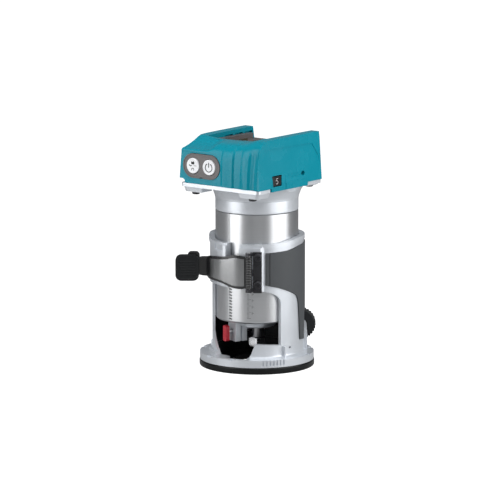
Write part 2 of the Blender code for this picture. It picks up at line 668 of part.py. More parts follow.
def motor_barrel():
    inner = BARREL_RADIUS - BARREL_WALL
    top = BARREL_TOP - GAP
    profile = [
        (inner, top), (BARREL_RADIUS, top), (BARREL_RADIUS, BARREL_BOTTOM + 1.6 * MM),
        (BARREL_RADIUS - 1.4 * MM, BARREL_BOTTOM), (22.3 * MM, BARREL_BOTTOM),
        (22.3 * MM, BARREL_BOTTOM + 3.0 * MM), (inner, BARREL_BOTTOM + 3.0 * MM),
    ]
    barrel = add_part("motor_barrel", turned(profile, 80, "barrel"), "brushed_aluminium", BASE)
    back, low, high = depth_rack()
    half = PINION_HALF_WIDTH + GAP
    slot = block((back - 2.0 * MM, -half, low), (BARREL_RADIUS + 3.0 * MM, half, high + GAP))
    cut(barrel, slot)


def bearing_housing():
    plate_bottom = BARREL_BOTTOM + 0.5 * MM
    profile = [
        (11.4 * MM, 43.0 * MM), (21.9 * MM, 43.0 * MM), (21.9 * MM, plate_bottom),
        (BOSS_RADIUS, plate_bottom - 0.6 * MM), (BOSS_RADIUS, BOSS_BOTTOM + 1.2 * MM),
        (BOSS_RADIUS - 1.0 * MM, BOSS_BOTTOM), (6.6 * MM, BOSS_BOTTOM),
        (6.6 * MM, BOSS_BOTTOM + 2.2 * MM), (11.4 * MM, BOSS_BOTTOM + 2.2 * MM),
    ]
    nose = add_part("bearing_housing", turned(profile, 56, "nose"), "silver_paint", BASE)
    carrier = block((-5.5 * MM, -23.0 * MM, 20.8 * MM), (5.5 * MM, -12.6 * MM, 37.0 * MM))
    carrier.transform(Matrix.Rotation(math.radians(LOCK_ANGLE), 4, "Z"))
    join(nose, carrier)
    reach = (bearing(LOCK_ANGLE, 9.0 * MM, LOCK_HEIGHT), bearing(LOCK_ANGLE, 26.0 * MM, LOCK_HEIGHT))
    cut(nose, rod(1.9 * MM, *reach, 20, name="lock_bore"))


def spindle_lock():
    """A red push button whose pin slides in to hold the spindle."""
    turn = Matrix.Rotation(math.radians(LOCK_ANGLE), 4, "Z")
    cap = block((-2.4 * MM, -29.8 * MM, 21.0 * MM), (2.4 * MM, -26.6 * MM, 33.5 * MM), 0.6 * MM)
    cap.transform(turn)
    button = add_part("spindle_lock_button", cap, "red_plastic", BASE)
    reach = (bearing(LOCK_ANGLE, 7.0 * MM, LOCK_HEIGHT), bearing(LOCK_ANGLE, 27.5 * MM, LOCK_HEIGHT))
    join(button, rod(1.5 * MM, *reach, 16, name="lock_pin"))


def motor_inside():
    fit = BARREL_RADIUS - BARREL_WALL - 2 * GAP
    add_part("stator", ring(16.6 * MM, fit, 60.0 * MM, 90.0 * MM, 40, "stator"), "copper", BASE)
    bearing_ring = ring(SPINDLE_RADIUS + GAP, 11.0 * MM, 33.4 * MM, 41.5 * MM, 32, "bearing")
    add_part("lower_bearing", bearing_ring, "steel", BASE)
    upper = ring(SPINDLE_RADIUS + GAP, 9.0 * MM, 111.0 * MM, 117.0 * MM, 32, "bearing")
    add_part("upper_bearing", upper, "steel", BASE)
    bracket = [
        (9.4 * MM, 118.5 * MM), (fit, 118.5 * MM), (fit, 114.0 * MM),
        (13.0 * MM, 114.0 * MM), (13.0 * MM, 110.0 * MM), (9.4 * MM, 110.0 * MM),
    ]
    add_part("motor_end_bracket", turned(bracket, 40, "bracket"), "brushed_aluminium", BASE)


def led_lenses():
    for name, angle in (("led_lens_left", -22.0), ("led_lens_right", 22.0)):
        foot = bearing(angle, 18.6 * MM, 35.6 * MM)
        add_part(name, rod(2.0 * MM, foot, foot + Vector((0, 0, 1.4 * MM)), 20), "clear_lens", BASE)


def spindle_group():
    profile = [
        (0.0, 118.0 * MM), (SPINDLE_RADIUS, 118.0 * MM), (SPINDLE_RADIUS, 31.0 * MM),
        (CONE_RADIUS, 30.0 * MM), (CONE_RADIUS, COLLET_TOP + GAP), (0.0, COLLET_TOP + GAP),
    ]
    spindle = add_part("spindle", turned(profile, 32, "spindle"), "steel", BASE)
    pin_hole = (
        bearing(LOCK_ANGLE, -10.0 * MM, LOCK_HEIGHT), bearing(LOCK_ANGLE, 10.0 * MM, LOCK_HEIGHT)
    )
    cut(spindle, rod(1.9 * MM, *pin_hole, 20, name="pin_hole"))
    hub = SPINDLE_RADIUS + GAP
    add_part("rotor", ring(hub, 16.0 * MM, 58.0 * MM, 92.0 * MM, 40, "rotor"), "dark_steel", BASE)
    fan = add_part(
        "cooling_fan", ring(hub, 9.0 * MM, 97.0 * MM, 107.0 * MM, 32, "hub"), "black_plastic", BASE
    )
    disc_ring = ring(6.0 * MM, 26.0 * MM, 97.0 * MM, 98.2 * MM, 32, "fan_disc")
    join(fan, disc_ring)
    for i in range(8):
        blade = block((8.0 * MM, -0.6 * MM, 97.6 * MM), (25.0 * MM, 0.6 * MM, 105.5 * MM))
        blade.transform(Matrix.Rotation(math.tau * i / 8, 4, "Z"))
        join(fan, blade)
    nut_radius = COLLET_ACROSS_FLATS / 2 / math.cos(math.pi / 6)
    foot = Vector((0, 0, COLLET_BOTTOM))
    nut = add_part(
        "collet_nut", rod(nut_radius, foot, (0, 0, COLLET_TOP), 6), "steel", BASE
    )
    bore = [
        (0.0, 0.03), (5.3 * MM, 0.03), (5.3 * MM, COLLET_BOTTOM + 2.2 * MM),
        (3.7 * MM, COLLET_BOTTOM + 1.0 * MM), (3.7 * MM, 0.01), (0.0, 0.01),
    ]
    cut(nut, turned(bore, 24, "nut_bore"))
    cone = [
        (3.2 * MM, COLLET_TOP), (4.9 * MM, COLLET_TOP), (4.9 * MM, COLLET_BOTTOM + 2.6 * MM),
        (3.9 * MM, COLLET_BOTTOM + 1.6 * MM), (3.2 * MM, COLLET_BOTTOM + 1.6 * MM),
    ]
    add_part("collet_cone", turned(cone, 24, "collet"), "steel", BASE)


# --- Head -------------------------------------------------------------------------------------------

def head_outline(half_width, front, rear, corner=5.0 * MM):
    """The head seen from above: a box with rounded corners, as (x, y) points."""
    x, y = half_width - corner, front - corner
    points = arc((-x, -y), corner, 180.0, 270.0, 3) + arc((x, -y), corner, 270.0, 360.0, 3)
    points += arc((x, rear - corner), corner, 0.0, 90.0, 3)
    points += arc((-x, rear - corner), corner, 90.0, 180.0, 3)
    return points


def side_prism(outline, left, right, name):
    """An outline of (y, z) points carried from one X to another."""
    mesh = plate(outline, left, right, name)
    mesh.transform(Matrix(((0, 0, 1, 0), (1, 0, 0, 0), (0, 1, 0, 0), (0, 0, 0, 1))))
    return mesh


def stadium(width, height, low, high, name):
    """A round-ended plate on the head's front: low and high are its Y, from out to in."""
    r = height / 2
    reach = width / 2 - r
    points = arc((reach, 0.0), r, -90.0, 90.0, 8) + arc((-reach, 0.0), r, 90.0, 270.0, 8)
    mesh = plate(points, low, high, name)
    mesh.transform(Matrix(((1, 0, 0, 0), (0, 0, -1, 0), (0, 1, 0, 0), (0, 0, 0, 1))))
    mesh.transform(Matrix.Translation((PANEL_CENTRE[0], 0.0, PANEL_CENTRE[1])))
    return mesh


SIDES = (-1.0, 1.0)


def mirrored(outline, side):
    return [(side * x, y) for x, y in outline]


def head_lower_cover():
    top = SKIRT_TOP - GAP
    web = 143.9 * MM
    outline = head_outline(HEAD_HALF_WIDTH - 1.0 * MM, HEAD_FRONT - 0.6 * MM, HEAD_REAR)
    cover = add_part("head_lower_cover", plate(outline, web, top, "skirt"), "silver_paint", HEAD)
    for side in SIDES:
        inner = 17.5 * MM
        outer = HEAD_HALF_WIDTH - 1.6 * MM
        front = [(inner, -31.0 * MM), (inner, -HEAD_FRONT + 1.2 * MM)]
        front += arc((outer - 4.0 * MM, -HEAD_FRONT + 5.2 * MM), 4.0 * MM, 270.0, 360.0, 3)
        front += [(outer, -31.0 * MM)]
        join(cover, plate(mirrored(front, side), SKIRT_BOTTOM, web + 0.8 * MM, "front_foot"))
        rear = [(inner, 15.5 * MM), (outer, 15.5 * MM)]
        rear += arc((outer - 4.0 * MM, HEAD_REAR - 5.0 * MM), 4.0 * MM, 0.0, 90.0, 3)
        rear += [(inner, HEAD_REAR - 1.0 * MM)]
        join(cover, plate(mirrored(rear, side), 142.9 * MM, web + 0.8 * MM, "rear_foot"))
    bore = BARREL_RADIUS - BARREL_WALL
    flare = BARREL_RADIUS + 5.7 * MM
    neck = [
        (bore, top - 0.4 * MM), (flare, top - 0.4 * MM), (flare, web + 0.4 * MM),
        (flare - 2.2 * MM, 141.8 * MM), (flare - 4.1 * MM, 138.6 * MM),
        (flare - 5.2 * MM, 136.0 * MM),
        (BARREL_RADIUS, NECK_TOP), (BARREL_RADIUS, BARREL_TOP), (bore, BARREL_TOP),
    ]
    join(cover, turned(neck, 72, "neck"))
    cut(cover, disc(bore - 0.3 * MM, BARREL_TOP - 1.0 * MM, top + 1.0 * MM, 48, "neck_bore"))
    cut(cover, block((-0.05, HEAD_REAR - 0.2 * MM, 0.13), (0.05, 0.05, 0.15), name="rear_trim"))
    for side in SIDES:
        reach = sorted((side * (HEAD_HALF_WIDTH - 3.5 * MM - GAP), side * 0.045))
        low = (reach[0], SIDE_DROP[0] - GAP, 0.135)
        high = (reach[1], SIDE_DROP[1] + GAP, 0.15)
        cut(cover, block(low, high, name="drop_notch"))
    for x, y, foot in screw_places():
        spot = Vector((x, y, foot - 3.0 * MM))
        cut(cover, rod(1.6 * MM, spot, spot + Vector((0, 0, 8.2 * MM)), 16, name="screw_hole"))


def screw_places():
    """(x, y, underside of the foot) of each screw under the head."""
    return (
        (-28.0 * MM, -41.0 * MM, SKIRT_BOTTOM), (28.0 * MM, -41.0 * MM, SKIRT_BOTTOM),
        (-30.5 * MM, 27.5 * MM, 142.9 * MM), (30.5 * MM, 27.5 * MM, 142.9 * MM),
    )


def head_screws():
    for number, (x, y, foot) in enumerate(screw_places(), start=1):
        low = foot - GAP - 1.8 * MM
        profile = [
            (0.0, foot + 4.4 * MM), (1.25 * MM, foot + 4.4 * MM), (1.25 * MM, foot - GAP),
            (3.1 * MM, foot - GAP), (3.1 * MM, low + 0.5 * MM), (2.5 * MM, low), (0.0, low),
        ]
        spot = Matrix.Translation((x, y, 0.0))
        add_part(f"head_screw_{number}", turned(profile, 18, "screw"), "dark_steel", HEAD, spot)


def head_housing():
    outline = head_outline(HEAD_HALF_WIDTH, HEAD_FRONT, HEAD_REAR)
    shell = plate(outline, SKIRT_TOP, HEAD_TOP, "shell")
    lean = 0.925
    for vert in shell.vertices:
        if vert.co.z > SKIRT_TOP + 1.0 * MM:
            vert.co.x *= lean
    housing = add_part("head_housing", shell, "teal_plastic", HEAD)
    for side in SIDES:
        reach = sorted((side * (HEAD_HALF_WIDTH - 3.5 * MM), side * HEAD_HALF_WIDTH))
        low = (reach[0], SIDE_DROP[0], SIDE_DROP_BOTTOM)
        high = (reach[1] - 0.05 * MM, SIDE_DROP[1], SKIRT_TOP + 3.0 * MM)
        join(housing, block(low, high, name="side_drop"))
    above = 0.200
    ramp = [
        (-0.060, above), (-0.060, DECK_FRONT_TOP - 4.5 * MM), (-HEAD_FRONT, DECK_FRONT_TOP),
        (-37.0 * MM, DECK_FRONT_TOP + 3.0 * MM), (-24.5 * MM, LIP_TOP), (-20.0 * MM, LEFT_WALL_TOP),
        (0.060, LEFT_WALL_TOP), (0.060, above),
    ]
    cut(housing, side_prism(ramp, -0.05, HUMP_LEFT, "ramp"))
    hump = [
        (-0.060, above), (-0.060, 0.120), (-HEAD_FRONT, 165.0 * MM), (-45.5 * MM, 174.5 * MM),
        (-42.5 * MM, LIP_TOP - 3.0 * MM), (-36.0 * MM, LIP_TOP - 0.5 * MM), (-24.5 * MM, LIP_TOP),
        (-20.0 * MM, HEAD_TOP + 1.0 * MM), (-20.0 * MM, above),
    ]
    cut(housing, side_prism(hump, HUMP_LEFT - 0.1 * MM, HUMP_RIGHT, "hump"))
    corner = hump[:3] + [
        (-45.5 * MM, 173.0 * MM), (-42.5 * MM, 179.5 * MM), (-34.0 * MM, HEAD_TOP + 0.2 * MM),
        (-34.0 * MM, above),
    ]
    cut(housing, side_prism(corner, HUMP_RIGHT - 0.1 * MM, 0.05, "corner"))
    lean_cut = [(HEAD_REAR + 0.5 * MM, 166.0 * MM), (31.0 * MM, 0.186), (0.05, 0.186), (0.05, 0.166)]
    cut(housing, side_prism(lean_cut, -0.05, 0.05, "rear_lean"))
    low = (-CHANNEL_HALF_WIDTH, -CHANNEL_FRONT, CHANNEL_FLOOR)
    cut(housing, block(low, (CHANNEL_HALF_WIDTH, 0.05, 0.2), name="channel"))
    low = (-33.5 * MM, -42.0 * MM, 0.140)
    cut(housing, block(low, (33.5 * MM, HEAD_REAR - 4.0 * MM, CHANNEL_FLOOR - 3.0 * MM), name="hollow"))
    pocket = stadium(
        PANEL_WIDTH + 2 * GAP, PANEL_HEIGHT + 2 * GAP, HEAD_FRONT - 1.8 * MM, 0.052, "panel_pocket"
    )
    cut(housing, pocket)
    x, y, z = DIAL_CENTRE
    pocket = DIAL_RADIUS + 0.4 * MM
    half = DIAL_HEIGHT / 2 + 0.4 * MM
    cut(housing, rod(pocket, (x, y, z - half), (x, y, z + half), 48, name="dial_pocket"))
    window = block((x, y - 5.4 * MM, z - half), (0.045, y + 5.4 * MM, z + half), name="dial_window")
    cut(housing, window)
    for side in SIDES:
        reach = sorted((side * 38.2 * MM, side * 0.045))
        low = (reach[0], -10.0 * MM, 153.2 * MM)
        cut(housing, block(low, (reach[1], 7.5 * MM, 156.0 * MM), name="side_slot"))
    for spot in button_spots():
        cut(housing, rod(BUTTON_RADIUS + GAP, spot, spot + Vector((0, 9 * MM, 0)), 28, name="well"))


def button_spots():
    """The centre of each button's face."""
    x, z = PANEL_CENTRE
    face = -HEAD_FRONT - 1.2 * MM
    return Vector((x - BUTTON_OFFSET, face, z)), Vector((x + BUTTON_OFFSET, face, z))


def button_panel_and_buttons():
    mesh = stadium(PANEL_WIDTH, PANEL_HEIGHT, HEAD_FRONT - 1.4 * MM, HEAD_FRONT + 0.7 * MM, "panel")
    panel = add_part("button_panel", mesh, "panel_grey", HEAD)
    for name, spot in zip(("lock_button", "power_button"), button_spots()):
        back = spot + Vector((0, 6.5 * MM, 0))
        reach = (spot - Vector((0, 2 * MM, 0)), back)
        cut(panel, rod(BUTTON_RADIUS + GAP, *reach, 28, name="button_hole"))
        button = add_part(name, rod(BUTTON_RADIUS, spot, back, 40), "button_white", HEAD)
        soften(button, 0.4 * MM)
        hang(button, frame(f"{name}_pivot", HEAD, spot))


def speed_dial():
    x, y, z = DIAL_CENTRE
    half = DIAL_HEIGHT / 2
    dial = add_part(
        "speed_dial", rod(DIAL_RADIUS, (x, y, z - half), (x, y, z + half), 48),
        "black_plastic", HEAD,
    )
    bore = rod(2.4 * MM, (x, y, z - 0.01), (x, y, z + 0.01), 16, name="dial_bore")
    cut(dial, bore)
    hang(dial, frame("dial_pivot", HEAD, DIAL_CENTRE))
    board_low = z - half - 1.0 * MM
    pin = rod(2.0 * MM, (x, y, board_low), (x, y, 0.1592), 16)
    add_part("dial_spindle", pin, "steel", HEAD)


def electronics():
    low = CHANNEL_FLOOR + GAP
    half = CHANNEL_HALF_WIDTH - 0.5 * MM
    front = -CHANNEL_FRONT + 0.5 * MM
    deck = block((-half, front, low), (half, 30.0 * MM, low + 1.8 * MM), name="terminal_deck")
    part = add_part("terminal_block", deck, "panel_grey", HEAD)
    for side in SIDES:
        reach = sorted((side * half, side * (half - 4.6 * MM)))
        rail = (reach[0], front, low), (reach[1], 26.0 * MM, 178.4 * MM)
        join(part, block(*rail, name="rail"))
    join(part, block((-11 * MM, front, low), (11 * MM, -3 * MM, 176.6 * MM), name="contact_block"))
    for name, x in (("terminal_plus", 6.5 * MM), ("terminal_minus", -6.5 * MM)):
        foot = (x - 0.5 * MM, -14 * MM, 176.9 * MM)
        add_part(name, block(foot, (x + 0.5 * MM, -4 * MM, 179.4 * MM)), "brass", HEAD)
    board = block((-31 * MM, -39 * MM, 160.0 * MM), (31 * MM, 27 * MM, 161.6 * MM))
    add_part("controller_board", board, "board_green", HEAD)


def stand_on_origin():
    """Shifts everything so that the bottom centre of the bounding box is the origin."""
    bpy.context.view_layer.update()
    graph = bpy.context.evaluated_depsgraph_get()
    low, high = Vector((1, 1, 1)), Vector((-1, -1, -1))
    for part in PARTS.objects:
        if part.type != "MESH":
            continue
        shape = part.evaluated_get(graph)
        for vert in shape.to_mesh().vertices:
            spot = shape.matrix_world @ vert.co
            low = Vector(map(min, low, spot))
            high = Vector(map(max, high, spot))
        shape.to_mesh_clear()
    middle = Vector(((low.x + high.x) / 2, (low.y + high.y) / 2, low.z))
    ROUTER.location = -middle
    print("box", [round(v, 5) for v in (*low, *high)], "shift", [round(-v, 6) for v in middle])


base_housing()
base_plate()
plate_screws()
grips()
clamp_fasteners()
lever_hinge()
pinion_bush()
clamp_lever()
motor_barrel()
bearing_housing()
spindle_lock()
motor_inside()
led_lenses()
spindle_group()
pinion_and_knob()
head_lower_cover()
head_screws()
head_housing()
button_panel_and_buttons()
speed_dial()
electronics()
stand_on_origin()
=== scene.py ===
# %% [markdown]
# # A trim router, finished piece by piece
#
# A trim router is a small one-handed wood router. A motor in a smooth aluminium barrel
# slides up and down in a clamp base, and a plastic head on top holds the controls and
# a channel for the battery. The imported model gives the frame: every body, joint and size.
# This script adds what the eye expects: rounded edges, mould lines, marks and finishes.
#
# All lengths are in metres, so MM turns the sizes below into millimetres. Two frames
# are used. HEAD looks straight along the model's axes. BASE is turned, because the clamp
# base of the real tool can sit at any angle round the barrel.

import json
import math

import bmesh
import bpy
from mathutils import Matrix, Vector


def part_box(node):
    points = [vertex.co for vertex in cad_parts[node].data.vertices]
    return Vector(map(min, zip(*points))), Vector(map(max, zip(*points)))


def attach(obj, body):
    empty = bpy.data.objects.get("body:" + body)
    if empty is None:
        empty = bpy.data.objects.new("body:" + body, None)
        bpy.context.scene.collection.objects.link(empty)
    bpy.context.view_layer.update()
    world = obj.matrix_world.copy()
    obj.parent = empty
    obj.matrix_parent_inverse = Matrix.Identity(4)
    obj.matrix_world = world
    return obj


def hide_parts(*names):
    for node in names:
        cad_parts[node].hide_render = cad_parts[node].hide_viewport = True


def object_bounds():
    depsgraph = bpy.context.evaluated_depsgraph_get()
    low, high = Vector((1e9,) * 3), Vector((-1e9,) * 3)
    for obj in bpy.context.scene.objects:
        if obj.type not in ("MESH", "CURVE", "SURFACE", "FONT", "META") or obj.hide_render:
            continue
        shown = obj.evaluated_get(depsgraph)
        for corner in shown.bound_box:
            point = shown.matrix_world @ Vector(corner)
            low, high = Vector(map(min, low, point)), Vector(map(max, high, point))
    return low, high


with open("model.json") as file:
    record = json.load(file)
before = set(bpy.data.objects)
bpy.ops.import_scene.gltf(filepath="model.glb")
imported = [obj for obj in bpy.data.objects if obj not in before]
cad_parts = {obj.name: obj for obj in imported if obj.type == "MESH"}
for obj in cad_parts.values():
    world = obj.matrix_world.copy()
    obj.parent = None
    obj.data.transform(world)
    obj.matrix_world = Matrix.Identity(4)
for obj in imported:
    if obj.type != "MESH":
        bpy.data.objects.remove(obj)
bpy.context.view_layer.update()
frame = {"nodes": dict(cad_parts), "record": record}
MM = 0.001
low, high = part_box("spindle")
AXIS = Vector(((low[0] + high[0]) / 2, (low[1] + high[1]) / 2, 0.0))
HEAD = Matrix.Translation(AXIS)
TURN = math.radians(38.0)
BASE = HEAD @ Matrix.Rotation(TURN, 4, "Z")
print("nodes", len(frame["nodes"]), "spindle axis", [round(v, 5) for v in AXIS])

# %% [markdown]
# ## Camera, light and floor
#
# A long lens keeps upright edges parallel, as in a catalogue picture. Two tall soft boxes
# stand left and right and leave a darker gap between them: metal shows what is round it,
# so it is that gap which draws the dark band down the middle of the barrel.

# %% Camera, light and floor
TILT = math.radians(10.06)
TARGET = AXIS + Vector((0.0, 0.0, 90.67 * MM))
DISTANCE = 3.136
AWAY = Vector((
    math.sin(TURN) * math.cos(TILT), -math.cos(TURN) * math.cos(TILT), math.sin(TILT)
))
camera = bpy.data.objects.new("camera", bpy.data.cameras.new("camera"))
bpy.context.scene.collection.objects.link(camera)
camera.location = TARGET + AWAY * DISTANCE
camera.rotation_euler = AWAY.to_track_quat("Z", "Y").to_euler()
camera.data.lens = 288.0
camera.data.sensor_width = 36.0
camera.data.shift_x = -0.0138
camera.data.clip_end = 20.0
bpy.context.scene.camera = camera
bpy.context.scene.view_settings.view_transform = "Standard"


def soft_box(name, side, ahead, height, width, tall, power):
    """An area light, placed right of and ahead of the model as the camera sees it."""
    light = bpy.data.lights.new(name, "AREA")
    light.shape = "RECTANGLE"
    light.size = width
    light.size_y = tall
    light.energy = power
    lamp = bpy.data.objects.new(name, light)
    bpy.context.scene.collection.objects.link(lamp)
    right = Vector((math.cos(TURN), math.sin(TURN), 0.0))
    front = Vector((math.sin(TURN), -math.cos(TURN), 0.0))
    lamp.location = TARGET + right * side + front * ahead + Vector((0.0, 0.0, height))
    lamp.visible_camera = False
    aim = lamp.location - TARGET
    lamp.rotation_euler = aim.to_track_quat("Z", "Y").to_euler()
    return lamp


soft_box("left_box", -0.37, 0.20, 0.14, 0.30, 0.46, 1.25)
soft_box("right_box", 0.38, 0.18, 0.14, 0.46, 0.46, 1.75)
soft_box("top_box", 0.0, 0.15, 0.95, 0.9, 0.7, 6.0)
soft_box("front_box", 0.10, 1.5, 0.95, 0.5, 0.4, 3.6)

world = bpy.data.worlds.new("studio")
bpy.context.scene.world = world
world.use_nodes = True
nodes, links = world.node_tree.nodes, world.node_tree.links
room = nodes["Background"]
room.inputs["Color"].default_value = (0.93, 0.96, 1.0, 1.0)
room.inputs["Strength"].default_value = 0.2
backdrop = nodes.new("ShaderNodeBackground")
backdrop.inputs["Color"].default_value = (1.0, 1.0, 1.0, 1.0)
backdrop.inputs["Strength"].default_value = 1.0
ray = nodes.new("ShaderNodeLightPath")
mix = nodes.new("ShaderNodeMixShader")
links.new(ray.outputs["Is Camera Ray"], mix.inputs[0])
links.new(room.outputs[0], mix.inputs[1])
links.new(backdrop.outputs[0], mix.inputs[2])
links.new(mix.outputs[0], nodes["World Output"].inputs["Surface"])

bm = bmesh.new()
bmesh.ops.create_grid(bm, x_segments=1, y_segments=1, size=3.0)
mesh = bpy.data.meshes.new("floor")
bm.to_mesh(mesh)
bm.free()
floor = bpy.data.objects.new("floor", mesh)
bpy.context.scene.collection.objects.link(floor)
floor.location.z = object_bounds()[0][2] - 0.0002
paper = bpy.data.materials.new("paper_floor")
paper.use_nodes = True
sheet = paper.node_tree.nodes["Principled BSDF"]
sheet.inputs["Base Color"].default_value = (0.33, 0.33, 0.33, 1.0)
sheet.inputs["Roughness"].default_value = 0.9
sheet.inputs["Emission Color"].default_value = (1.0, 1.0, 1.0, 1.0)
glow = paper.node_tree.nodes.new("ShaderNodeLightPath")
level = paper.node_tree.nodes.new("ShaderNodeMapRange")
level.inputs["To Min"].default_value = 0.06
level.inputs["To Max"].default_value = 1.0
paper.node_tree.links.new(glow.outputs["Is Camera Ray"], level.inputs["Value"])
paper.node_tree.links.new(level.outputs["Result"], sheet.inputs["Emission Strength"])
mesh.materials.append(paper)
print("camera", [round(v, 3) for v in camera.location])

# %% [markdown]
# ## Small tools for shaping
#
# Each tool does one job with Blender's own operators: spin a profile, extrude an outline,
# wrap an outline round a cylinder, subtract or add a volume, round the edges. Volumes that
# only cut are deleted once their Boolean has been worked out.

# %% Tools for shaping
ANGLE_SMOOTH = math.radians(32.0)
MERGE = 2e-6


def link(name, mesh):
    piece = bpy.data.objects.new(name, mesh)
    bpy.context.scene.collection.objects.link(piece)
    return piece


def finished(bm, name, place=HEAD):
    """Closes a bmesh into an object, facing out, with its place in its vertices."""
    bmesh.ops.recalc_face_normals(bm, faces=bm.faces)
    if bm.calc_volume(signed=True) < 0.0:
        bmesh.ops.reverse_faces(bm, faces=bm.faces)
    bmesh.ops.transform(bm, matrix=place, verts=bm.verts)
    mesh = bpy.data.meshes.new(name)
    bm.to_mesh(mesh)
    bm.free()
    return link(name, mesh)


def lathe(profile, steps, name, place=HEAD):
    """Turns a profile of (radius, height) points, in millimetres, once round the spindle."""
    bm = bmesh.new()
    loop = [bm.verts.new((r * MM, 0.0, h * MM)) for r, h in profile]
    edges = [bm.edges.new(pair) for pair in zip(loop, loop[1:])]
    if profile[0][0] > 0:
        edges.append(bm.edges.new((loop[-1], loop[0])))
    bmesh.ops.spin(
        bm, geom=loop + edges, cent=(0, 0, 0), axis=(0, 0, 1), angle=math.tau,
        steps=steps, use_merge=True,
    )
    bmesh.ops.remove_doubles(bm, verts=bm.verts, dist=1e-6)
    return finished(bm, name, place)


def slab(outline, low, high, name, place=HEAD, plane="XY"):
    """Gives a flat outline, in millimetres, a thickness. In the plane XZ it reaches along Y."""
    bm = bmesh.new()
    face = bm.faces.new([bm.verts.new((x * MM, y * MM, low * MM)) for x, y in outline])
    raised = bmesh.ops.extrude_face_region(bm, geom=[face])["geom"]
    lifted = [v for v in raised if isinstance(v, bmesh.types.BMVert)]
    bmesh.ops.translate(bm, vec=(0, 0, (high - low) * MM), verts=lifted)
    turn = {
        "XY": Matrix.Identity(4),
        "XZ": Matrix(((1, 0, 0, 0), (0, 0, 1, 0), (0, 1, 0, 0), (0, 0, 0, 1))),
        "YZ": Matrix(((0, 0, 1, 0), (1, 0, 0, 0), (0, 1, 0, 0), (0, 0, 0, 1))),
    }[plane]
    bmesh.ops.transform(bm, matrix=turn, verts=bm.verts)
    return finished(bm, name, place)


def bar(radius, start, end, name, place=HEAD, sides=48, end_radius=None):
    """A round bar between two points, in millimetres."""
    start, end = Vector(start) * MM, Vector(end) * MM
    along = end - start
    bm = bmesh.new()
    bmesh.ops.create_cone(
        bm, cap_ends=True, segments=sides, radius1=radius * MM,
        radius2=(radius if end_radius is None else end_radius) * MM, depth=along.length,
    )
    turn = along.to_track_quat("Z", "Y").to_matrix().to_4x4()
    bmesh.ops.transform(bm, matrix=Matrix.Translation((start + end) / 2) @ turn, verts=bm.verts)
    return finished(bm, name, place)


def box(low, high, name, place=HEAD):
    """A box between two corners, in millimetres."""
    low, high = Vector(low) * MM, Vector(high) * MM
    bm = bmesh.new()
    bmesh.ops.create_cube(bm, size=1.0)
    bmesh.ops.scale(bm, vec=high - low, verts=bm.verts)
    bmesh.ops.translate(bm, vec=(low + high) / 2, verts=bm.verts)
    return finished(bm, name, place)


def bearing(angle, radius, height=0.0):
    """A point round the spindle: degrees from the front (-Y) towards the right (+X)."""
    turn = math.radians(angle)
    return Vector((radius * math.sin(turn), -radius * math.cos(turn), height))


def wrapped(outline, inner, outer, name, place=BASE, step=3.0):
    """A panel that follows a cylinder: an outline of (degrees, height) between two radii."""
    bm = bmesh.new()
    face = bm.faces.new([bm.verts.new((math.radians(a), 0.0, h * MM)) for a, h in outline])
    raised = bmesh.ops.extrude_face_region(bm, geom=[face])["geom"]
    lifted = [v for v in raised if isinstance(v, bmesh.types.BMVert)]
    bmesh.ops.translate(bm, vec=(0, 1, 0), verts=lifted)
    first = min(a for a, h in outline)
    last = max(a for a, h in outline)
    count = max(1, math.ceil((last - first) / step))
    for i in range(1, count):
        where = math.radians(first + (last - first) * i / count)
        everything = bm.verts[:] + bm.edges[:] + bm.faces[:]
        bmesh.ops.bisect_plane(
            bm, geom=everything, dist=1e-6, plane_co=(where, 0, 0), plane_no=(1, 0, 0)
        )
    for vert in bm.verts:
        radius = outer if vert.co.y > 0.5 else inner
        vert.co = bearing(math.degrees(vert.co.x), radius * MM, vert.co.z)
    return finished(bm, name, place)


def arc(x, y, radius, start, end, count):
    """Points round a centre, from one angle to another, in degrees from the first axis."""
    turns = [math.radians(start + (end - start) * i / count) for i in range(count + 1)]
    return [(x + radius * math.cos(t), y + radius * math.sin(t)) for t in turns]


def settle(piece):
    """Replaces a piece's mesh with what its modifiers make of it."""
    bpy.context.view_layer.update()
    graph = bpy.context.evaluated_depsgraph_get()
    mesh = bpy.data.meshes.new_from_object(piece.evaluated_get(graph))
    piece.modifiers.clear()
    piece.data = mesh
    return piece


def combine(piece, tools, operation):
    for tool in tools:
        step = piece.modifiers.new("shape", "BOOLEAN")
        step.operation = operation
        step.solver = "EXACT"
        step.object = tool
    settle(piece)
    for tool in tools:
        bpy.data.objects.remove(tool)
    return piece


def cut(piece, *tools):
    return combine(piece, tools, "DIFFERENCE")


def join(piece, *tools):
    return combine(piece, tools, "UNION")


def show(piece, step):
    """Prints how a piece stands after a step: its volume and whether it is closed."""
    bm = bmesh.new()
    bm.from_mesh(piece.data)
    holes = sum(1 for edge in bm.edges if not edge.is_manifold)
    print(piece.name, step, round(bm.calc_volume() / MM ** 3), "mm3, open edges", holes)
    bm.free()


def rounded(piece, width, segments=2, angle=30.0):
    """Rounds the edges that are sharper than an angle, and shades the rest smooth."""
    bm = bmesh.new()
    bm.from_mesh(piece.data)
    bmesh.ops.remove_doubles(bm, verts=bm.verts, dist=MERGE)
    bmesh.ops.dissolve_degenerate(bm, dist=MERGE, edges=bm.edges)
    bm.to_mesh(piece.data)
    bm.free()
    step = piece.modifiers.new("round", "BEVEL")
    step.width = width * MM
    step.segments = segments
    step.limit_method = "ANGLE"
    step.angle_limit = math.radians(angle)
    step.use_clamp_overlap = True
    step.miter_outer = "MITER_ARC"
    settle(piece)
    return smooth(piece)


def smooth(piece):
    """Smooth shading, kept sharp across real corners, with weighted normals on flat faces."""
    piece.data.shade_smooth()
    piece.data.set_sharp_from_angle(angle=ANGLE_SMOOTH)
    step = piece.modifiers.new("weight", "WEIGHTED_NORMAL")
    step.keep_sharp = True
    step.weight = 80
    return piece


print("tools ready")

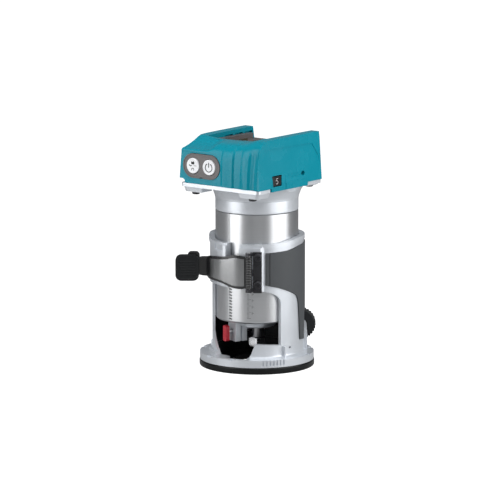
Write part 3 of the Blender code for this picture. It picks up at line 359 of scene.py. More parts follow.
# %% [markdown]
# ## Finishes
#
# Moulded plastic is never one flat colour: the mould leaves a fine grain, and handling
# leaves smoother and rougher patches. One recipe covers plastic, paint and rubber: a fine
# noise raises the grain, a broad noise moves the roughness and the colour a little. Metals
# get their own recipe, because a lathe leaves rings that stretch highlights sideways.

# %% Finishes
def node_of(tree, kind, **values):
    made = tree.nodes.new(kind)
    for key, value in values.items():
        made.inputs[key].default_value = value
    return made


def surface(name, colour, roughness, metallic=0.0, grain=2600.0, lift=0.02, patch=0.05,
            tint=0.06, coat=0.0, specular=0.5):
    """A finish with a fine grain, in object space, and broad patches in its sheen."""
    made = bpy.data.materials.new(name)
    made.use_nodes = True
    tree = made.node_tree
    shader = tree.nodes["Principled BSDF"]
    shader.inputs["Metallic"].default_value = metallic
    shader.inputs["Coat Weight"].default_value = coat
    shader.inputs["Coat Roughness"].default_value = 0.08
    shader.inputs["Specular IOR Level"].default_value = specular
    spot = tree.nodes.new("ShaderNodeTexCoord")
    fine = node_of(tree, "ShaderNodeTexNoise", Scale=grain, Detail=3.0, Roughness=0.6)
    broad = node_of(tree, "ShaderNodeTexNoise", Scale=70.0, Detail=4.0, Roughness=0.55)
    tree.links.new(spot.outputs["Object"], fine.inputs["Vector"])
    tree.links.new(spot.outputs["Object"], broad.inputs["Vector"])
    sheen = tree.nodes.new("ShaderNodeMapRange")
    sheen.inputs["From Min"].default_value = 0.3
    sheen.inputs["From Max"].default_value = 0.7
    sheen.inputs["To Min"].default_value = roughness - patch
    sheen.inputs["To Max"].default_value = roughness + patch
    tree.links.new(broad.outputs["Fac"], sheen.inputs["Value"])
    tree.links.new(sheen.outputs["Result"], shader.inputs["Roughness"])
    shade = tree.nodes.new("ShaderNodeMix")
    shade.data_type = "RGBA"
    shade.inputs["A"].default_value = (*[c * (1.0 - tint) for c in colour], 1.0)
    shade.inputs["B"].default_value = (*[min(1.0, c * (1.0 + tint)) for c in colour], 1.0)
    tree.links.new(broad.outputs["Fac"], shade.inputs["Factor"])
    tree.links.new(shade.outputs["Result"], shader.inputs["Base Color"])
    bump = node_of(tree, "ShaderNodeBump", Strength=0.5, Distance=lift * MM)
    tree.links.new(fine.outputs["Fac"], bump.inputs["Height"])
    tree.links.new(bump.outputs["Normal"], shader.inputs["Normal"])
    return made


def turned_metal(name, colour, roughness, rings=5200.0, lift=0.006, around=0.75):
    """Metal off a lathe: fine rings round the spindle, and highlights stretched across."""
    made = bpy.data.materials.new(name)
    made.use_nodes = True
    tree = made.node_tree
    shader = tree.nodes["Principled BSDF"]
    shader.inputs["Metallic"].default_value = 1.0
    shader.inputs["Anisotropic"].default_value = around
    shader.inputs["Anisotropic Rotation"].default_value = 0.25
    spot = tree.nodes.new("ShaderNodeTexCoord")
    stretch = tree.nodes.new("ShaderNodeMapping")
    stretch.inputs["Scale"].default_value = (6.0, 6.0, rings)
    tree.links.new(spot.outputs["Object"], stretch.inputs["Vector"])
    lines = node_of(tree, "ShaderNodeTexNoise", Scale=1.0, Detail=5.0, Roughness=0.7)
    tree.links.new(stretch.outputs["Vector"], lines.inputs["Vector"])
    shade = tree.nodes.new("ShaderNodeMix")
    shade.data_type = "RGBA"
    shade.inputs["A"].default_value = (*[c * 0.78 for c in colour], 1.0)
    shade.inputs["B"].default_value = (*[min(1.0, c * 1.1) for c in colour], 1.0)
    tree.links.new(lines.outputs["Fac"], shade.inputs["Factor"])
    tree.links.new(shade.outputs["Result"], shader.inputs["Base Color"])
    sheen = tree.nodes.new("ShaderNodeMapRange")
    sheen.inputs["To Min"].default_value = roughness - 0.08
    sheen.inputs["To Max"].default_value = roughness + 0.08
    tree.links.new(lines.outputs["Fac"], sheen.inputs["Value"])
    tree.links.new(sheen.outputs["Result"], shader.inputs["Roughness"])
    way = tree.nodes.new("ShaderNodeTangent")
    way.direction_type = "RADIAL"
    way.axis = "Z"
    tree.links.new(way.outputs["Tangent"], shader.inputs["Tangent"])
    bump = node_of(tree, "ShaderNodeBump", Strength=0.4, Distance=lift * MM)
    tree.links.new(lines.outputs["Fac"], bump.inputs["Height"])
    tree.links.new(bump.outputs["Normal"], shader.inputs["Normal"])
    return made


FINISH = {
    "teal_plastic": surface(
        "teal_plastic", (0.0, 0.225, 0.3), 0.26, lift=0.03, tint=0.05, specular=0.22
    ),
    "silver_paint": surface(
        "silver_paint", (0.66, 0.69, 0.73), 0.36, 0.55, grain=3200.0, lift=0.02, tint=0.04
    ),
    "brushed_aluminium": turned_metal(
        "brushed_aluminium", (0.66, 0.67, 0.685), 0.33, lift=0.01, around=0.55
    ),
    # The grey metal here is a painted highlight: it stands in for the sheen on gloss black paint.
    "black_gloss": surface(
        "black_gloss", (0.32, 0.325, 0.33), 0.2, 0.9, grain=900.0, lift=0.02, patch=0.04, coat=0.5
    ),
    "black_plastic": surface(
        "black_plastic", (0.009, 0.01, 0.011), 0.4, grain=2400.0, lift=0.05, tint=0.2,
        specular=0.3
    ),
    "grip_rubber": surface(
        "grip_rubber", (0.055, 0.06, 0.065), 0.6, grain=2200.0, lift=0.09, tint=0.12
    ),
    "steel": turned_metal("steel", (0.6, 0.6, 0.61), 0.3, rings=3000.0),
    "dark_steel": surface(
        "dark_steel", (0.045, 0.045, 0.05), 0.34, 0.7, grain=1800.0, lift=0.02, tint=0.2
    ),
    "panel_grey": surface(
        "panel_grey", (0.105, 0.096, 0.096), 0.38, grain=2600.0, lift=0.03, tint=0.08
    ),
    "button_white": surface("button_white", (0.8, 0.81, 0.83), 0.38, lift=0.01, tint=0.02),
    "red_plastic": surface("red_plastic", (0.46, 0.018, 0.035), 0.33, lift=0.02),
    "brass": surface("brass", (0.34, 0.29, 0.2), 0.28, 1.0, grain=1500.0, lift=0.01),
    "copper": surface("copper", (0.6, 0.27, 0.14), 0.4, 0.9, grain=1200.0, lift=0.1, tint=0.2),
    "board_green": surface("board_green", (0.02, 0.15, 0.07), 0.45, tint=0.15),
    "clear_lens": surface("clear_lens", (0.8, 0.84, 0.88), 0.12, grain=800.0, patch=0.02),
}
SLOT_OF = {row["node"]: row["material_slot"] for row in frame["record"]["subparts"]}
for name, part in frame["nodes"].items():
    part.data.materials.clear()
    part.data.materials.append(FINISH[SLOT_OF[name]])
print("finishes", len(FINISH))


def dress(piece, slot, body, *nodes, finish=None):
    """Gives a piece its finish and its body, and hides the CAD nodes it stands for."""
    piece.data.materials.clear()
    piece.data.materials.append(finish or FINISH[slot])
    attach(piece, body)
    if nodes:
        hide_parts(*nodes)
    return piece


# %% [markdown]
# ## The head housing
#
# The teal housing is an injection moulding. Its front and top are one flowing skin: flat
# behind the buttons, three soft vertical facets, a flute beside the corner, then a round
# over the top into the lip of the battery channel. Such a skin is easiest to state as a
# family of side profiles, one for each place across the width, blended between them. The
# plain block is then cut with that skin, as a mould would shape it.

# %% Head housing
LOCK_X, POWER_X, PANEL_X, KEY_Z = -25.1, -9.3, -17.2, 161.1
DIAL_X, DIAL_Y = 25.8, -24.7
PROFILES = [
    (-45.0, [(-47.4, 135), (-47.4, 150), (-47.2, 162), (-46.9, 170), (-46.6, 173.5),
             (-41.5, 175.3), (-35.5, 177.4), (-29.5, 179.5), (-22.0, 182.1), (-14.0, 182.4),
             (10.0, 182.5), (50.0, 182.7)]),
    (-33.0, [(-47.4, 135), (-47.4, 150), (-47.2, 162), (-46.9, 170), (-46.6, 173.3),
             (-42.5, 174.3), (-37.5, 175.7), (-32.0, 178.0), (-27.0, 180.7), (-21.0, 182.0),
             (10.0, 182.5), (50.0, 182.7)]),
    (-15.0, [(-47.4, 135), (-47.4, 150), (-47.2, 162), (-46.9, 170), (-46.4, 173.2),
             (-42.5, 174.3), (-37.5, 175.9), (-32.5, 178.0), (-28.5, 179.9), (-24.5, 180.6),
             (10.0, 181.5), (50.0, 182.0)]),
    (-5.0, [(-47.6, 135), (-47.6, 150), (-47.5, 162), (-46.9, 169.5), (-45.4, 174.4),
            (-42.8, 177.4), (-39.0, 179.3), (-33.5, 180.2), (-28.5, 180.5), (-24.5, 180.5),
            (10.0, 181.5), (50.0, 182.0)]),
    (13.0, [(-47.6, 135), (-47.6, 150), (-47.4, 162), (-46.7, 169.5), (-45.2, 174.6),
            (-42.8, 177.8), (-39.2, 179.9), (-33.5, 180.9), (-28.5, 181.1), (-24.5, 181.0),
            (10.0, 182.0), (50.0, 182.5)]),
    (30.0, [(-48.1, 135), (-48.0, 150), (-47.2, 161), (-45.9, 169.5), (-44.6, 175.6),
            (-42.6, 179.3), (-39.6, 181.8), (-36.0, 183.6), (-31.0, 184.3), (-24.5, 184.4),
            (10.0, 184.5), (50.0, 184.5)]),
    (45.0, [(-48.4, 135), (-48.3, 150), (-47.2, 161), (-45.7, 169.5), (-44.4, 175.6),
            (-43.2, 179.0), (-40.6, 181.9), (-36.6, 184.0), (-31.0, 184.6), (-24.5, 184.6),
            (10.0, 184.6), (50.0, 184.6)]),
]
FACETS = [
    (-60.0, 0.0), (1.8, 0.0), (3.2, 0.55), (12.6, 1.0), (14.4, -0.35), (20.8, -0.25),
    (22.2, 0.95), (25.0, 1.15), (28.0, 0.7), (30.0, -0.5), (33.0, -1.15), (35.8, -0.7),
    (37.4, 0.35), (60.0, 0.35),
]


def between(table, x):
    """The value of a table of (x, value) rows at x, with soft ends to each step."""
    for (x0, v0), (x1, v1) in zip(table, table[1:]):
        if x <= x1:
            t = min(1.0, max(0.0, (x - x0) / (x1 - x0)))
            t = t * t * (3.0 - 2.0 * t)
            return v0 + (v1 - v0) * t
    return table[-1][1]


def skin_point(x, share):
    """Where the housing's skin is, across at x and a share of the way from front to back."""
    along = share * (len(PROFILES[0][1]) - 1)
    i = min(int(along), len(PROFILES[0][1]) - 2)
    t = along - i
    ys = []
    for axis in (0, 1):
        points = []
        for k in (i - 1, i, i + 1, i + 2):
            k = min(max(k, 0), len(PROFILES[0][1]) - 1)
            points.append(between([(px, Vector(rows[k])[axis]) for px, rows in PROFILES], x))
        a, b, c, d = points
        ys.append(0.5 * (
            2 * b + (c - a) * t + (2 * a - 5 * b + 4 * c - d) * t * t
            + (3 * b - a - 3 * c + d) * t ** 3
        ))
    fade = min(1.0, max(0.0, (180.0 - ys[1]) / 9.0))
    return ys[0] - between(FACETS, x) * fade, ys[1]


def skin_cutter():
    """A solid in front of and above the skin, for cutting the block to shape."""
    bm = bmesh.new()
    bmesh.ops.create_grid(bm, x_segments=132, y_segments=84, size=1.0)
    for vert in bm.verts:
        x = vert.co.x * 45.0
        y, z = skin_point(x, (vert.co.y + 1.0) / 2.0)
        vert.co = Vector((x, y, z)) * MM
    raised = bmesh.ops.extrude_face_region(bm, geom=bm.faces[:], use_keep_orig=True)["geom"]
    for vert in (v for v in raised if isinstance(v, bmesh.types.BMVert)):
        vert.co += Vector((0.0, -0.03, 0.03))
    return finished(bm, "skin_cutter")


def head_outline(half, front, rear, corner, rear_corner, count=6):
    x = half - corner
    points = arc(-x, -front + corner, corner, 180, 270, count)
    points += arc(x, -front + corner, corner, 270, 360, count)
    x = half - rear_corner
    points += arc(x, rear - rear_corner, rear_corner, 0, 90, count)
    points += arc(-x, rear - rear_corner, rear_corner, 90, 180, count)
    return points


def tapered(piece, low, high, share):
    """Draws a piece's sides in towards the top, as a moulding's draft angle does."""
    for vert in piece.data.vertices:
        t = max(0.0, (vert.co.z / MM - low) / (high - low))
        vert.co.x = AXIS.x + (vert.co.x - AXIS.x) * (1.0 - share * t)
    return piece


def head_housing():
    shell = slab(head_outline(39.5, 50.0, 34.6, 2.6, 4.0), 147.0, 187.0, "head_housing_finished")
    tapered(shell, 149.0, 184.4, 0.068)
    join(shell, box((-39.3, -32, 144.3), (-35.5, 13.8, 150), "drop"),
         box((35.5, -32, 144.3), (39.45, 13.8, 150), "drop"))
    join(shell, slab([(-14, 144.4), (13.6, 144.4), (13.6, 154.6), (-14, 157.8)],
                     36.0, 39.75, "sub_panel", plane="YZ"))
    cut(shell, skin_cutter())
    lean = [(35.1, 166.5), (31.2, 188), (60, 188), (60, 166.5)]
    cut(shell, slab(lean, -50, 50, "rear_lean", plane="YZ"))
    cut(shell, box((-29, -25, 172), (29, 60, 190), "channel"))
    cut(shell, box((-33.5, -42, 140), (33.5, 30.6, 169), "hollow"))
    border = slab([(-39, 177.6), (21.7, 176.4), (29.4, 165.4), (31, 150), (-39, 150)],
                  0.0, 10.0, "border", plane="YZ")
    for vert in border.data.vertices:
        near = vert.co.x < 0.005
        vert.co.x = (36.75 + (178.0 - vert.co.z / MM) * 0.097) * MM if near else 0.05
    cut(shell, border)
    foot = slab([(-50, 150.6), (-36.0, 150.2), (-34.2, 149.0), (-34.0, 146), (-50, 146)],
                -60, -33.0, "left_foot", plane="XZ")
    cut(shell, foot)
    pocket = slab(stadium(18.3, 9.7), -60, -45.7, "panel_pocket", plane="XZ")
    cut(shell, pocket)
    for x in (LOCK_X, POWER_X):
        cut(shell, bar(6.5, (x, -50, KEY_Z), (x, -40, KEY_Z), "well"))
    dial_low, dial_high = (DIAL_X, DIAL_Y, 148.1), (DIAL_X, DIAL_Y, 156.5)
    cut(shell, bar(14.4, dial_low, dial_high, "dial_pocket", sides=72))
    window = slab(arc(-29.0, 155.4, 1.2, 90, 180, 4) + [(-30.2, 148.2), (-19.2, 148.2)]
                  + arc(-20.0, 155.8, 0.8, 0, 90, 4), 25, 45, "window", plane="YZ")
    cut(shell, window)
    cut(shell, box((38.75, -10.5, 153.6), (45, 6.5, 155.9), "side_slot"),
        bar(1.9, (35, 8.4, 154.6), (45, 8.4, 154.6), "side_hole"))
    for y in (-3.0, 9.4, 21.8):
        cut(shell, box((-31.5, y, 177.6), (-28.0, y + 9.6, 179.4), "vent"))
    return rounded(shell, 0.45, 2, 38)


def stadium(half_length, radius, centre=(PANEL_X, KEY_Z)):
    reach = half_length - radius
    x, z = centre
    return arc(x + reach, z, radius, -90, 90, 16) + arc(x - reach, z, radius, 90, 270, 16)


head = dress(head_housing(), "teal_plastic", "motor_unit", "head_housing")
print("head housing", len(head.data.polygons), "faces")

# %% [markdown]
# ## Buttons, panel and speed dial
#
# The grey panel is a rounded plate with a thin raised rim. The two white keys carry
# generic signs: a padlock with a small dial mark, and the usual power sign. The signs are
# thin raised shapes, like ink that has been printed on.

# %% Panel, buttons and dial
def button_panel():
    panel = slab(stadium(18.1, 9.5), -48.15, -45.9, "button_panel_finished", plane="XZ")
    cut(panel, slab(stadium(17.2, 8.6), -50.0, -47.85, "inset", plane="XZ"))
    for x in (LOCK_X, POWER_X):
        cut(panel, bar(6.4, (x, -50, KEY_Z), (x, -44, KEY_Z), "well"))
    cut(panel, slab(arc(-17.2, 151.2, 1.5, 20, 160, 8), -50, -47.5, "nick", plane="XZ"))
    return rounded(panel, 0.22, 2)


def key(x, name):
    """A white key with a slightly hollow face and a rounded rim."""
    rows = [(0.0, 0.35), (3.0, 0.25), (5.2, 0.05), (5.75, 0.0), (6.05, 0.3), (6.05, 6.3),
            (0.0, 6.3)]
    place = HEAD @ Matrix.Translation(Vector((x, -48.9, KEY_Z)) * MM)
    piece = lathe(rows, 72, name, place @ Matrix.Rotation(math.radians(-90), 4, "X"))
    return rounded(piece, 0.15, 1, 40)


def ribbon(points, width, x, z, name, closed=False):
    """A printed line: a flat band along points, laid on a key's face."""
    bm = bmesh.new()
    outer, inner = [], []
    count = len(points)
    for i, point in enumerate(points):
        before = Vector(points[i - 1] if i or closed else point)
        after = Vector(points[(i + 1) % count] if i < count - 1 or closed else point)
        way = (after - before).normalized()
        side = Vector((-way.y, way.x)) * width / 2
        for row, sign in ((outer, 1), (inner, -1)):
            spot = Vector(point) + side * sign
            row.append(bm.verts.new(Vector((x + spot.x, -48.72, z + spot.y)) * MM))
    last = count if closed else count - 1
    for i in range(last):
        j = (i + 1) % count
        bm.faces.new((outer[i], outer[j], inner[j], inner[i]))
    bmesh.ops.solidify(bm, geom=bm.faces[:], thickness=0.12 * MM)
    return finished(bm, name)


INK = surface("sign_ink", (0.03, 0.032, 0.036), 0.5, lift=0.005)
dress(button_panel(), "panel_grey", "motor_unit", "button_panel")
dress(key(LOCK_X, "lock_key_face"), "button_white", "lock_key", "lock_button")
dress(key(POWER_X, "power_key_face"), "button_white", "power_key", "power_button")
circle = [(3.3 * math.cos(t), 3.3 * math.sin(t)) for t in
          [math.radians(60 - 300 * i / 40) for i in range(41)]]
lines = [
    (circle, 0.75, POWER_X, 160.9, "power_ring", False, "power_key"),
    ([(0.0, 0.2), (0.0, 4.2)], 0.75, POWER_X, 160.9, "power_bar", False, "power_key"),
    (arc(0, 0, 4.6, 0, 354, 48), 0.35, POWER_X, 160.9, "power_rim", True, "power_key"),
    (arc(0.0, 3.0, 0.95, -10, 190, 14), 0.42, LOCK_X, KEY_Z, "padlock_bow", False, "lock_key"),
    ([(-1.45, 2.1), (1.45, 2.1)], 1.7, LOCK_X, KEY_Z, "padlock_body", False, "lock_key"),
    ([(-4.3, 0.1), (-0.9, 0.1)], 0.5, LOCK_X, KEY_Z, "slow_mark", False, "lock_key"),
    ([(-3.6, 1.0), (-1.8, -0.9)], 0.35, LOCK_X, KEY_Z, "slow_stroke", False, "lock_key"),
    ([(0.9, 0.1), (4.3, 0.1)], 0.3, LOCK_X, KEY_Z, "fast_mark", False, "lock_key"),
    (arc(0.0, -3.1, 1.15, 0, 345, 20), 0.5, LOCK_X, KEY_Z, "lamp_mark", True, "lock_key"),
]
for points, width, x, z, name, closed, body in lines:
    dress(ribbon(points, width, x, z, name, closed), "dark_steel", body, finish=INK)


def speed_dial():
    """The dial's rim has fine ribs. Its number shows in the window beside the corner."""
    rim = []
    for i in range(72):
        for share, radius in ((0.0, 14.0), (0.55, 14.0), (0.75, 13.7)):
            turn = math.tau * (i + share) / 72
            rim.append((DIAL_X + radius * math.cos(turn), DIAL_Y + radius * math.sin(turn)))
    dial = slab(rim, 148.6, 156.0, "speed_dial_finished")
    cut(dial, bar(2.4, (DIAL_X, DIAL_Y, 140), (DIAL_X, DIAL_Y, 160), "bore"))
    return rounded(dial, 0.15, 1, 50)


def dial_digit():
    """A plain figure five, printed on the dial's rim where the window shows it."""
    strokes = [(1.0, 2.2), (-0.85, 2.2), (-1.0, 0.35), (0.0, 0.6), (0.8, 0.3), (1.05, -0.5),
               (0.8, -1.5), (0.0, -1.95), (-0.95, -1.75)]
    bm = bmesh.new()
    outer, inner = [], []
    for i, point in enumerate(strokes):
        way = Vector(strokes[min(i + 1, 8)]) - Vector(strokes[max(i - 1, 0)])
        side = Vector((-way.y, way.x)).normalized() * 0.3
        for row, sign in ((outer, 1), (inner, -1)):
            spot = Vector(point) + side * sign
            turn = math.radians(-4.0) + spot.x / 14.1
            row.append(bm.verts.new(Vector((
                DIAL_X + 14.08 * math.cos(turn), DIAL_Y + 14.08 * math.sin(turn), 152.2 + spot.y
            )) * MM))
    for i in range(8):
        bm.faces.new((outer[i], outer[i + 1], inner[i + 1], inner[i]))
    bmesh.ops.solidify(bm, geom=bm.faces[:], thickness=0.08 * MM)
    return finished(bm, "dial_digit")


dress(speed_dial(), "black_plastic", "speed_wheel", "speed_dial")
dress(dial_digit(), "button_white", "speed_wheel")

# %% [markdown]
# ## Neck and skirt
#
# The silver casting under the head is a tube that flares like a trumpet and ends in a
# skirt the shape of the head. Casting it in one piece keeps the motor square to the head.
# The flare is turned as one smooth profile and the skirt is extruded and cut.

# %% Neck and skirt
def lower_cover():
    skirt = slab(head_outline(38.4, 47.3, 34.4, 2.8, 4.0), 143.9, 146.8, "lower_cover_finished")
    feet = []
    foot = arc(33.9, -42.5, 4.0, 270, 360, 6) + [(37.9, -31.5), (17.5, -31.5), (17.5, -46.5)]
    rear = [(17.5, 15.5), (37.9, 15.5)] + arc(33.9, 29.6, 4.0, 0, 90, 6) + [(17.5, 33.6)]
    for side in (1, -1):
        for outline, bottom, name in ((foot, 139.9, "front_foot"), (rear, 142.7, "rear_foot")):
            piece = slab([(side * x, y) for x, y in outline], bottom, 144.6, name)
            middle = Vector((side * 28.0, -39.0 if bottom < 141 else 25.0)) * MM
            for vert in piece.data.vertices:
                if vert.co.z < (bottom + 0.1) * MM:
                    vert.co.x += (AXIS.x + middle.x - vert.co.x) * 0.16
                    vert.co.y += (AXIS.y + middle.y - vert.co.y) * 0.12
            feet.append(piece)
    join(skirt, *feet)
    flare = [(29.5, 146.4), (38.2, 146.4), (38.2, 144.6), (37.5, 143.6), (36.2, 142.0),
             (35.1, 140.2), (34.2, 138.2), (33.5, 136.2), (33.0, 134.9), (32.95, 133.9),
             (32.6, 133.4), (32.6, 125.0), (32.4, 124.1), (29.5, 124.1)]
    join(skirt, lathe(flare, 144, "flare"))
    cut(skirt, bar(29.2, (0, 0, 120), (0, 0, 150), "bore", sides=96),
        box((-50, 34.4, 130), (50, 60, 150), "rear_trim"))
    for side in (1, -1):
        x = sorted((side * 35.7, side * 50))
        cut(skirt, box((x[0], -32.3, 135), (x[1], 14.1, 150), "notch"))
    for x, y in ((28, -41), (-28, -41), (30.5, 27.5), (-30.5, 27.5)):
        cut(skirt, bar(1.6, (x, y, 135), (x, y, 145.2), "hole", sides=24))
    return rounded(skirt, 0.5, 3, 38)


dress(lower_cover(), "silver_paint", "motor_unit", "head_lower_cover")
print("neck done")

# %% [markdown]
# ## The cast base
#
# The collar, its flange and its two clamp ears are one aluminium casting, painted silver.
# The body is turned, so a lathe profile gives the tube and the flange. The ears, the
# pinion boss and the gussets are joined to it, and then the window, the split and the
# grip seats are cut, in the order in which a foundry and a mill would make them. Every
# edge is rounded last, because cast metal has no sharp edge.

# %% The collar's outlines
WINDOW = [
    (-58.0, 11.07), (-10.0, 11.07), (-2.0, 22.3), (30.5, 21.0), (30.5, 54.5), (29.6, 57.0),
    (27.0, 59.3), (23.0, 61.2), (18.0, 62.6), (4.0, 65.0), (-10.0, 66.4), (-80.0, 66.4),
    (-80.0, 28.0),
]
RIGHT_GRIP = [
    (10.4, 68.9), (26.0, 66.6), (44.0, 62.4), (51.0, 60.2), (55.4, 58.3), (57.9, 55.6),
    (59.4, 52.2), (60.2, 48.0), (63.8, 22.5), (78.0, 21.5), (80.0, 44.0), (172.0, 44.0),
    (172.0, 98.5), (90.0, 98.5), (60.0, 97.5), (40.0, 95.3), (10.4, 94.4),
]
LEFT_GRIP = [(188.0, 16.0), (246.0, 16.0), (246.0, 96.5), (188.0, 98.5)]


def flat_ear(points, low, high, name):
    """A lug seen from above: (degrees, radius) points, carried from one height to another."""
    return slab([bearing(a, r)[:2] for a, r in points], low, high, name, BASE)


low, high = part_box("pinion_bush")
bush = (Vector(low) + Vector(high)) / 2
local = BASE.inverted() @ bush
PINION_SPOT = (local.x / MM, -local.z / MM)
PINION_PLACE = BASE @ Matrix.Rotation(math.radians(-90), 4, "X")
print("pinion axis", [round(v, 2) for v in PINION_SPOT])

# %% [markdown]
# The flange is not a plain disc. Short ribs mark its edge below the window, shallow
# notches show where accessories sit, and a threaded hole takes a guide. These are cut
# while the body is still a plain turned shape, which keeps the Booleans clean.

# %% The flange's details
SCREW_ANGLES = (-52, 38, 128, 218)
BRACKET_HEIGHTS = (92.0, 70.5)


def flange_details():
    cuts = []
    for i in range(7):
        angle = 5.5 + i * 3.6
        cuts.append(wrapped(
            [(angle, 6.9), (angle + 1.5, 6.9), (angle + 1.5, 12), (angle, 12)], 43.6, 47,
            "rib_gap", step=4))
    for angle, width in ((-60.0, 6.0), (-28.5, 3.2), (66.0, 3.2), (101.0, 5.0), (160.0, 5.0),
                         (198.0, 5.0), (250.0, 5.0)):
        cuts.append(wrapped(
            [(angle, 9.9), (angle + width, 9.9), (angle + width, 12), (angle, 12)], 41.4, 47,
            "notch", step=3))
    for angle in SCREW_ANGLES:
        cuts.append(bar(1.95, bearing(angle, 39.0, 4), bearing(angle, 39.0, 9.6), "hole", BASE))
    return cuts


def late_cuts():
    """The holes and pockets of the clamp bolt, the bracket screws and the guide."""
    cuts = [bar(0.9, bearing(44.5, 33.6, 18.2), bearing(44.5, 40, 18.2), "thread", BASE, 24)]
    for height in BRACKET_HEIGHTS:
        cuts.append(bar(1.6, bearing(0.8, 35.2, height), bearing(0.8, 42, height), "tap", BASE))
    middle = bearing(-29.5, 35.2, 79.5)
    way = bearing(60.5, 1.0)
    cuts.append(bar(1.55, middle - way * 14, middle + way * 14, "bolt_hole", BASE))
    turned = BASE @ Matrix.Rotation(math.radians(-29.5), 4, "Z")
    cuts.append(box((-17.4, -45, 75.8), (-11.6, -32.6, 83.2), "nut_pocket", turned))
    cuts.append(box((11.6, -45, 76.5), (17.4, -32.6, 82.5), "head_pocket", turned))
    cuts.append(slab([bearing(a, r)[:2] for a, r in (
        (-60, 37.2), (-50, 38.2), (-42, 38.5), (-42, 43), (-60, 43))], 94.9, 101, "ear_step", BASE))
    return cuts


# %% The collar
def rim_bead():
    """The thick rounded rim: it rises from the front to the back."""
    front = [
        (-101, 100.7), (-74, 97.7), (29, 97.7), (60, 100.7), (101, 100.7), (101, 104.1),
        (60, 104.1), (29, 101.15), (-74, 101.15), (-101, 104.1),
    ]
    back = [(99.3, 100.65), (260.4, 100.65), (260.4, 104.15), (99.3, 104.15)]
    return [
        wrapped(outline, inner, outer, name, step=4)
        for outline, inner, outer, name in (
            (front, 33.6, 37.5, "rim_front"), (back, 33.65, 37.55, "rim_back"))
    ]


def base_collar():
    profile = [
        (32.9, 104.0), (36.8, 104.0), (36.8, 13.6), (37.3, 12.2), (38.6, 11.3), (40.4, 11.0),
        (44.8, 11.0), (44.8, 5.3), (32.9, 5.3),
    ]
    collar = lathe(profile, 160, "base_collar", BASE)
    cut(collar, *flange_details())
    step = [
        (-104, 104.05), (-74, 101.05), (29, 101.05), (60, 104.05), (60, 112), (-104, 112),
    ]
    cut(collar, wrapped(step, 30, 47, "rim_step", step=8))
    left_ear = [(-66, 35.6), (-58, 38.8), (-53, 39.5), (-48, 39.7), (-42, 39.8), (-37, 39.7),
                (-37, 34.6), (-50, 34.6)]
    right_ear = [(-22, 34.6), (-22, 38.8), (-16, 38.9), (-10, 38.8), (-3, 38.8), (4, 38.8),
                 (10, 36.4), (0, 34.8)]
    boss = bar(5.0, (34.45, -6.0, 25.6), (34.45, 28.5, 25.6), "boss", BASE)
    gussets = [
        wrapped([(a, 8.5), (a + w, 8.5), (a + w, h), (a, h)], 36, 39.6, "gusset", step=9)
        for a, w, h in ((33.5, 1.6, 20.0), (88.0, 4.0, 24.0), (146.0, 4.0, 24.0),
                        (-118.0, 4.0, 22.0), (-150.0, 4.0, 22.0))
    ]
    show(collar, "flange")
    for lump in (*gussets, boss, flat_ear(left_ear, 68.0, 99.6, "left_ear"),
                 flat_ear(right_ear, 57.0, 98.8, "right_ear"), *rim_bead()):
        join(collar, lump)
    show(collar, "ears")
    cut(collar, *late_cuts())
    show(collar, "holes")
    relief = [(-113, 13.4), (-50, 13.4), (-50, 67), (-113, 67)]
    split = [(-38, 60), (-21, 60), (-21, 115), (-38, 115)]
    toe = [(-40, 3), (-12, 3), (-12, 14), (-40, 14)]
    cut(collar,
        bar(33.15, (0, 0, 15), (0, 0, 40), "boss_trim", BASE, sides=128),
        bar(3.95, (34.45, -4.7, 25.6), (34.45, 31, 25.6), "pinion_bore", BASE),
        wrapped(relief, 35.0, 47, "relief", step=4),
        wrapped(WINDOW, 29, 47, "window", step=4),
        wrapped(split, 29, 47, "split", step=6),
        wrapped(toe, 29, 40.2, "toe", step=6))
    show(collar, "window")
    cut(collar, *[wrapped(outline, 35.2, 47, "seat", step=4)
                  for outline in (RIGHT_GRIP, LEFT_GRIP)])
    show(collar, "seats")
    return collar


COLLAR = base_collar()
print("collar faces", len(COLLAR.data.polygons))

# %% [markdown]
# ## The collar's paint and its painted shade
#
# The outside is silver paint. The wall that faces the spindle below the window is painted dark,
# a painted shade that stands in for the deep shade inside a narrow bore: the faces are picked
# by where they lie and which way they face.

# %% The collar's paint and its painted shade
# Painted shade: a dark colour for the collar's inner wall and the barrel's pits.
PAINTED_SHADE = surface("painted_shade_dark", (0.03, 0.032, 0.036), 0.5, 0.4, grain=1500.0, tint=0.2)
rounded(COLLAR, 0.45, 3, 34)
dress(COLLAR, "silver_paint", "base", "base_housing")
COLLAR.data.materials.append(PAINTED_SHADE)
settle(COLLAR)
turn_back = BASE.inverted()
shadowed = 0
# Painted shade: inner-wall faces below the window that face the spindle get the dark colour.
for face in COLLAR.data.polygons:
    spot = turn_back @ face.center
    reach = Vector((spot.x, spot.y, 0.0))
    facing = (turn_back.to_3x3() @ face.normal).dot(reach.normalized())
    if reach.length < 33.3 * MM and facing < -0.5 and spot.z < 66.0 * MM:
        face.material_index = 1
        shadowed += 1
print("dark faces inside the base", shadowed)

# %% [markdown]
# ## Grips
#
# The grips are rubber, moulded over the collar. Each is a panel bent round the cylinder, with
# upright grooves. The right one has a narrow strip beside the window that a thin groove parts
# from the main field; its raised border is not built. The grooves are cut before the edges are
# rounded.

# %% Grips
def drawn_in(outline, amount):
    """An outline of (degrees, height) moved inwards by a distance along the surface."""
    scale = 36.8 * math.pi / 180
    flat = [Vector((a * scale, h)) for a, h in outline]
    area = sum(p.x * q.y - q.x * p.y for p, q in zip(flat, flat[1:] + flat[:1]))
    side = 1.0 if area > 0 else -1.0
    moved = []
    for i, point in enumerate(flat):
        before = (point - flat[i - 1]).normalized()
        after = (flat[(i + 1) % len(flat)] - point).normalized()
        inward = side * Vector((-before.y - after.y, before.x + after.x))
        spot = point + inward * amount * 2 / max(inward.length_squared, 0.5)
        moved.append((spot.x / scale, spot.y))
    return moved


